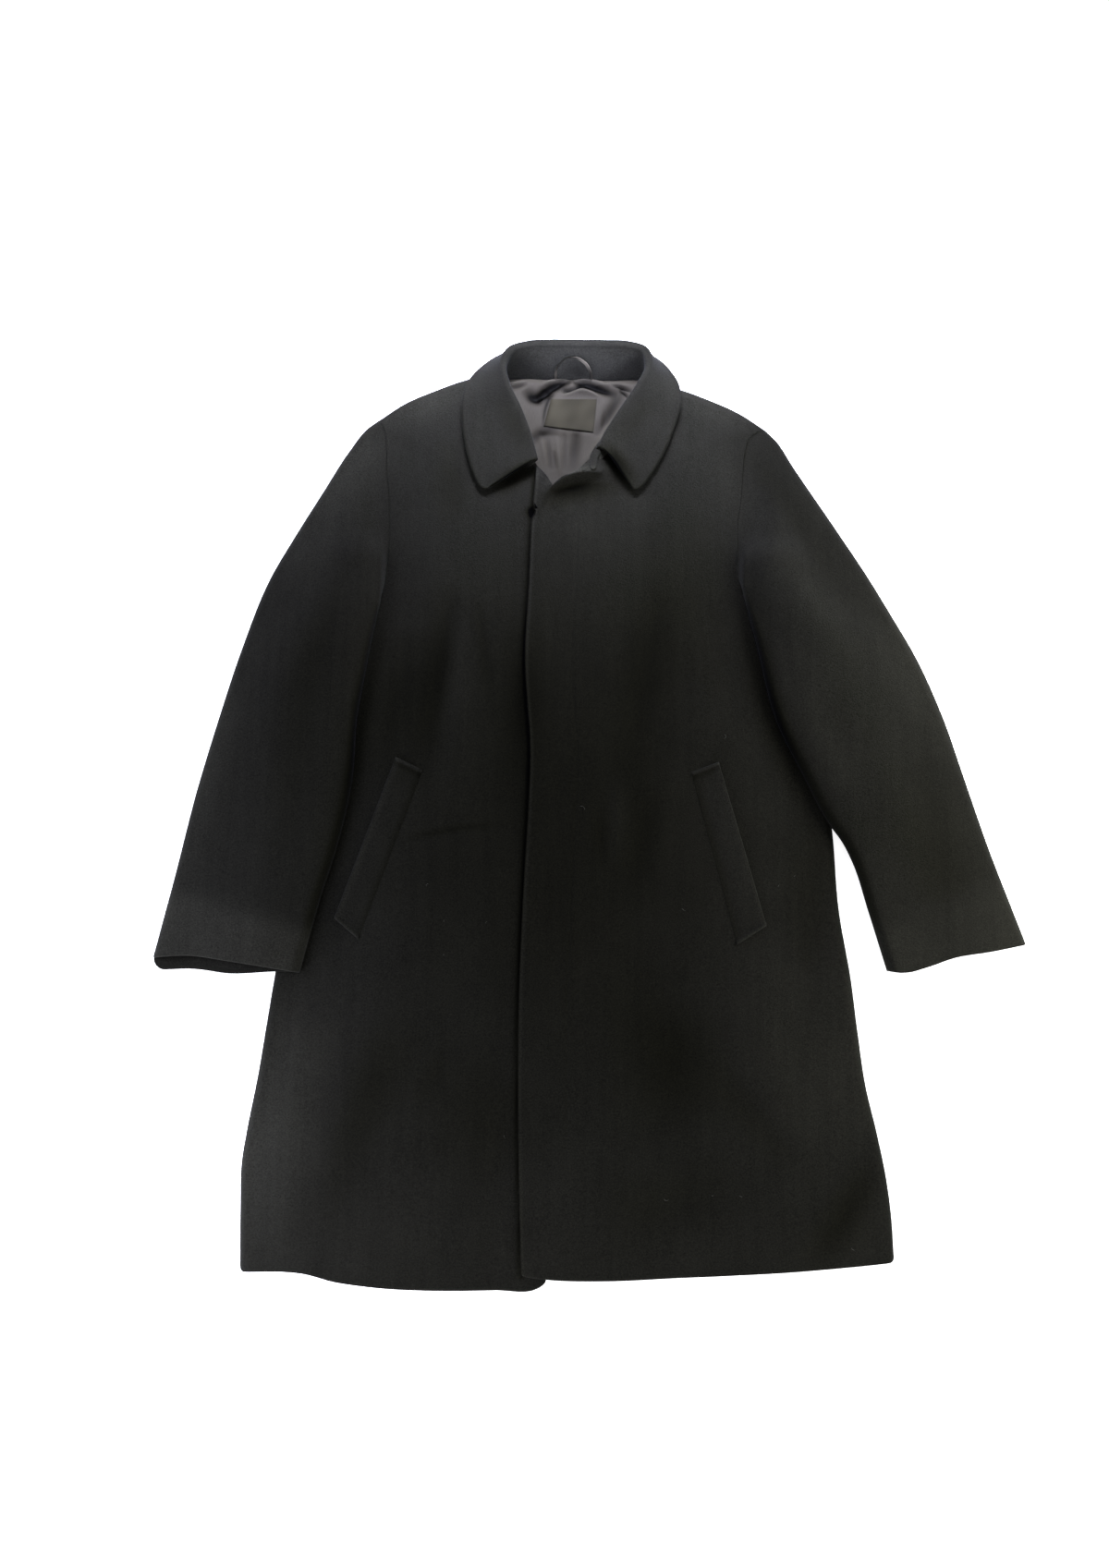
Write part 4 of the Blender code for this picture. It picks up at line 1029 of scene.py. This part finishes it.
def makeLoop(piece):
    # ribbon along its line on the stand, lifting off towards its middle and turning about its own length
    foot, fold, edge = collarSections(np.array([0.5]))
    out, over = collarBend(foot, fold, edge)
    up = (fold - collarPiece["bend"] * (out + over) - foot)[0]
    t = np.linspace(0, 1, piece["steps"])
    line = outline(np.asarray(piece["line"]) * (1, np.linalg.norm(up), 1), t)
    turn = np.radians(line[:, 2])
    along = np.gradient(line[:, :2], axis=0)
    along /= np.linalg.norm(along, axis=1, keepdims=True)
    up /= np.linalg.norm(up)
    axes = np.array([[1, 0, 0], up * (0, 1, 1), [0, -up[2], up[1]]])  # across, up the stand, out of it
    aside = np.stack([-along[:, 1] * np.cos(turn), along[:, 0] * np.cos(turn), np.sin(turn)], axis=1)
    width, gaps = piece["width"], piece["edgeGaps"]
    s = (shares(width, gaps, gaps, gaps[-1]) - 0.5) * width
    rise = collarPiece["wall"] / 2 + piece["clear"] + piece["lift"] * np.sin(np.pi * t)
    local = np.column_stack([line[:, :2], rise])[:, None] + aside[:, None] * s[None, :, None]
    grid = foot[0] * (0, 1, 1) + local @ axes
    toneAndShading = sum(ridge(row, t) for row in piece["gloss"]) + piece["tone"]
    toneAndShading = toneAndShading + piece["shade"] * ease(*piece["shadeRange"], t)
    sheet = shell(grid, piece["wall"], (0.4, 0.4, 0.4, 0.4), seat=0, toneAndShading=toneAndShading[:, None])
    return putCloth("loopCloth", satin, sheet)


loopCloth = makeLoop(loopPiece)
print("lining, label and loop made")

# Lint and stray fibres: x, y, length
lintPiece = {
    "rows": [(-92, -386, 5), (84, -447, 6), (282, -497, 5), (-294, 197, 4), (-184, -116, 4), (162, -444, 4),
             (129, -442, 3), (102, -139, 5), (-10, -29, 7), (146, 54, 6), (205, -111, 4), (223, -100, 3),
             (-118, -156, 3), (-164, -155, 3), (-163, -192, 3)],
    "radius": 0.12, "lift": 0.3, "bend": 1.4, "rise": 0.2, "lapAt": -75, "seed": 7,
}


def makeLint(piece):
    # short bent fibres lying on the fronts
    rng = np.random.default_rng(piece["seed"])
    x, y, length = np.asarray(piece["rows"], float).T
    z = np.where(x > piece["lapAt"], frontTop(x, y, 1), frontTop(x, y, -1)) + piece["lift"]
    turn = rng.uniform(0, np.pi, len(x))
    along = length[:, None] * np.stack([np.cos(turn), np.sin(turn), 0 * turn], axis=1)
    aside = np.stack([-np.sin(turn), np.cos(turn), piece["rise"] + 0 * turn], axis=1)
    bend = piece["bend"] * length[:, None] * aside * rng.uniform(-1, 1, len(x))[:, None]
    return threads("lintFibres", np.stack([x, y, z], axis=1), along, bend, piece["radius"], lint)


makeLint(lintPiece)
print("lint made")

# Which CAD node each piece stands for, its material slot, and its cut: breadth and length in m, area in m2;
# only the node is read here, to hide its CAD part
cuts = [
    (backCloth, "back", "black_wool", (0.71, 1.03), 0.62),
    (rightCloth, "right_front", "black_wool", (0.37, 1.03), 0.31),
    (leftCloth, "left_front", "black_wool", (0.42, 1.03), 0.33),
    (rightTop, "right_top_sleeve", "black_wool", (0.22, 0.69), 0.13),
    (leftTop, "left_top_sleeve", "black_wool", (0.22, 0.69), 0.13),
    (rightUnder, "right_under_sleeve", "black_wool", (0.22, 0.69), 0.115),
    (leftUnder, "left_under_sleeve", "black_wool", (0.22, 0.69), 0.115),
    (rightWeltCloth, "right_welt", "black_wool", (0.037, 0.195), 0.0066),
    (leftWeltCloth, "left_welt", "black_wool", (0.037, 0.195), 0.0066),
    (collarCloth, "collar", "black_wool", (0.11, 0.62), 0.05),
    (liningCloth, "back_lining", "mauve_satin", (0.19, 0.20), 0.036),
    (loopCloth, "hanging_loop", "mauve_satin", None, None),  # ribbon too narrow to count as a cut sheet
    (labelCloth, "neck_label", "woven_label", (0.064, 0.037), None),
]
for piece, node, slotName, flat, area in cuts:
    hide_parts(node)

# Stage: pale floor, camera above the coat and a little towards the hem, soft lights
photoHeight, focalPixels = 1697, 1400  # the photo's height and judged focal length in pixels
floorPiece = {"half": 6, "level": -0.0004, "colour": "#fbfbfb", "roughness": 0.9, "glow": 0.85}
roomLook = {"colour": "#ffffff", "strength": 0.2}
view = {"aim": (-0.044, 0.004, 0.0), "distance": 1.47, "tilt": 9.0, "roll": 0.7, "sensor": 36}
lights = [
    # name, place, what it points at, breadth, height, power, spread, colour
    ("topLeftStrip", (-0.62, 0.72, 0.30), (-0.25, 0.35, 0.0), 0.5, 0.15, 2.8, 180, "#e6e8ff"),
    ("topRightStrip", (0.56, 0.72, 0.30), (0.2, 0.35, 0.0), 0.5, 0.15, 4.0, 180, "#e6e8ff"),
    ("neckTop", (-0.03, 0.72, 0.40), (-0.03, 0.47, 0.03), 0.35, 0.12, 3.0, 65, "#e6e8ff"),
    ("standLight", (-0.025, 0.42, 0.15), (-0.025, 0.51, 0.03), 0.12, 0.04, 0.21, 70, "#d8dcff"),
    ("leftNear", (-0.62, -0.50, 0.13), (-0.36, -0.47, 0.01), 0.1, 0.6, 5.8, 180, "#e8eaff"),
    ("leftCuff", (-0.68, -0.12, 0.20), (-0.44, -0.14, 0.02), 0.1, 0.35, 1.6, 180, "#e8eaff"),
    ("leftArm", (-0.66, 0.22, 0.25), (-0.37, 0.2, 0.03), 0.1, 0.5, 1.9, 180, "#e8eaff"),
    ("rightArm", (0.62, 0.25, 0.25), (0.30, 0.2, 0.03), 0.1, 0.5, 4.3, 180, "#fdfdfa"),
    ("rightCuff", (0.70, -0.10, 0.20), (0.42, -0.1, 0.03), 0.1, 0.35, 3.0, 180, "#fdfdf6"),
    ("rightLow", (0.56, -0.45, 0.13), (0.30, -0.45, 0.01), 0.1, 0.6, 1.6, 180, "#ffffff"),
    ("hemStrip", (-0.03, -0.95, 0.20), (-0.03, -0.5, 0.0), 0.8, 0.15, 5.4, 180, "#ffffff"),
]
floor = bpy.data.objects.new("floor", bpy.data.meshes.new("floor"))
floorCorners = np.array([(-1, -1, 0), (1, -1, 0), (1, 1, 0), (-1, 1, 0)]) * floorPiece["half"]
floor.data.from_pydata((floorCorners + (0, 0, floorPiece["level"])).tolist(), [], [(0, 1, 2, 3)])
floor.data.materials.append(plainMaterial("paleFloor", floorPiece["colour"], floorPiece["roughness"],
                                          floorPiece["glow"]))
scene.collection.objects.link(floor)

camera = bpy.data.cameras.new("camera")
camera.sensor_fit = "VERTICAL"
camera.sensor_height = view["sensor"]
camera.lens = view["sensor"] * focalPixels / photoHeight
cameraObject = bpy.data.objects.new("camera", camera)
scene.collection.objects.link(cameraObject)
scene.camera = cameraObject
roll, tilt = math.radians(view["roll"]), math.radians(view["tilt"])
turn = Matrix.Rotation(roll, 4, "Z") @ Matrix.Rotation(tilt, 4, "X")
cameraObject.matrix_world = Matrix.Translation(
    Vector(view["aim"]) + turn.to_3x3() @ Vector((0, 0, view["distance"]))) @ turn

for name, place, aim, breadth, height, power, spread, code in lights:
    light = bpy.data.lights.new(name, "AREA")
    light.shape, light.size, light.size_y = "RECTANGLE", breadth, height
    light.energy, light.color = power, linear(code)[:3]
    light.spread = math.radians(spread)
    lightObject = bpy.data.objects.new(name, light)
    lightObject.matrix_world = Matrix.Translation(place) @ (
        Vector(place) - Vector(aim)).to_track_quat("Z", "Y").to_matrix().to_4x4()
    lightObject.visible_camera = False
    scene.collection.objects.link(lightObject)

sky = bpy.data.worlds.new("softRoom")
sky.use_nodes = True
background = sky.node_tree.nodes["Background"]
background.inputs["Color"].default_value = linear(roomLook["colour"])
background.inputs["Strength"].default_value = roomLook["strength"]
scene.world = sky
scene.view_settings.view_transform = "Standard"
print("stage made")
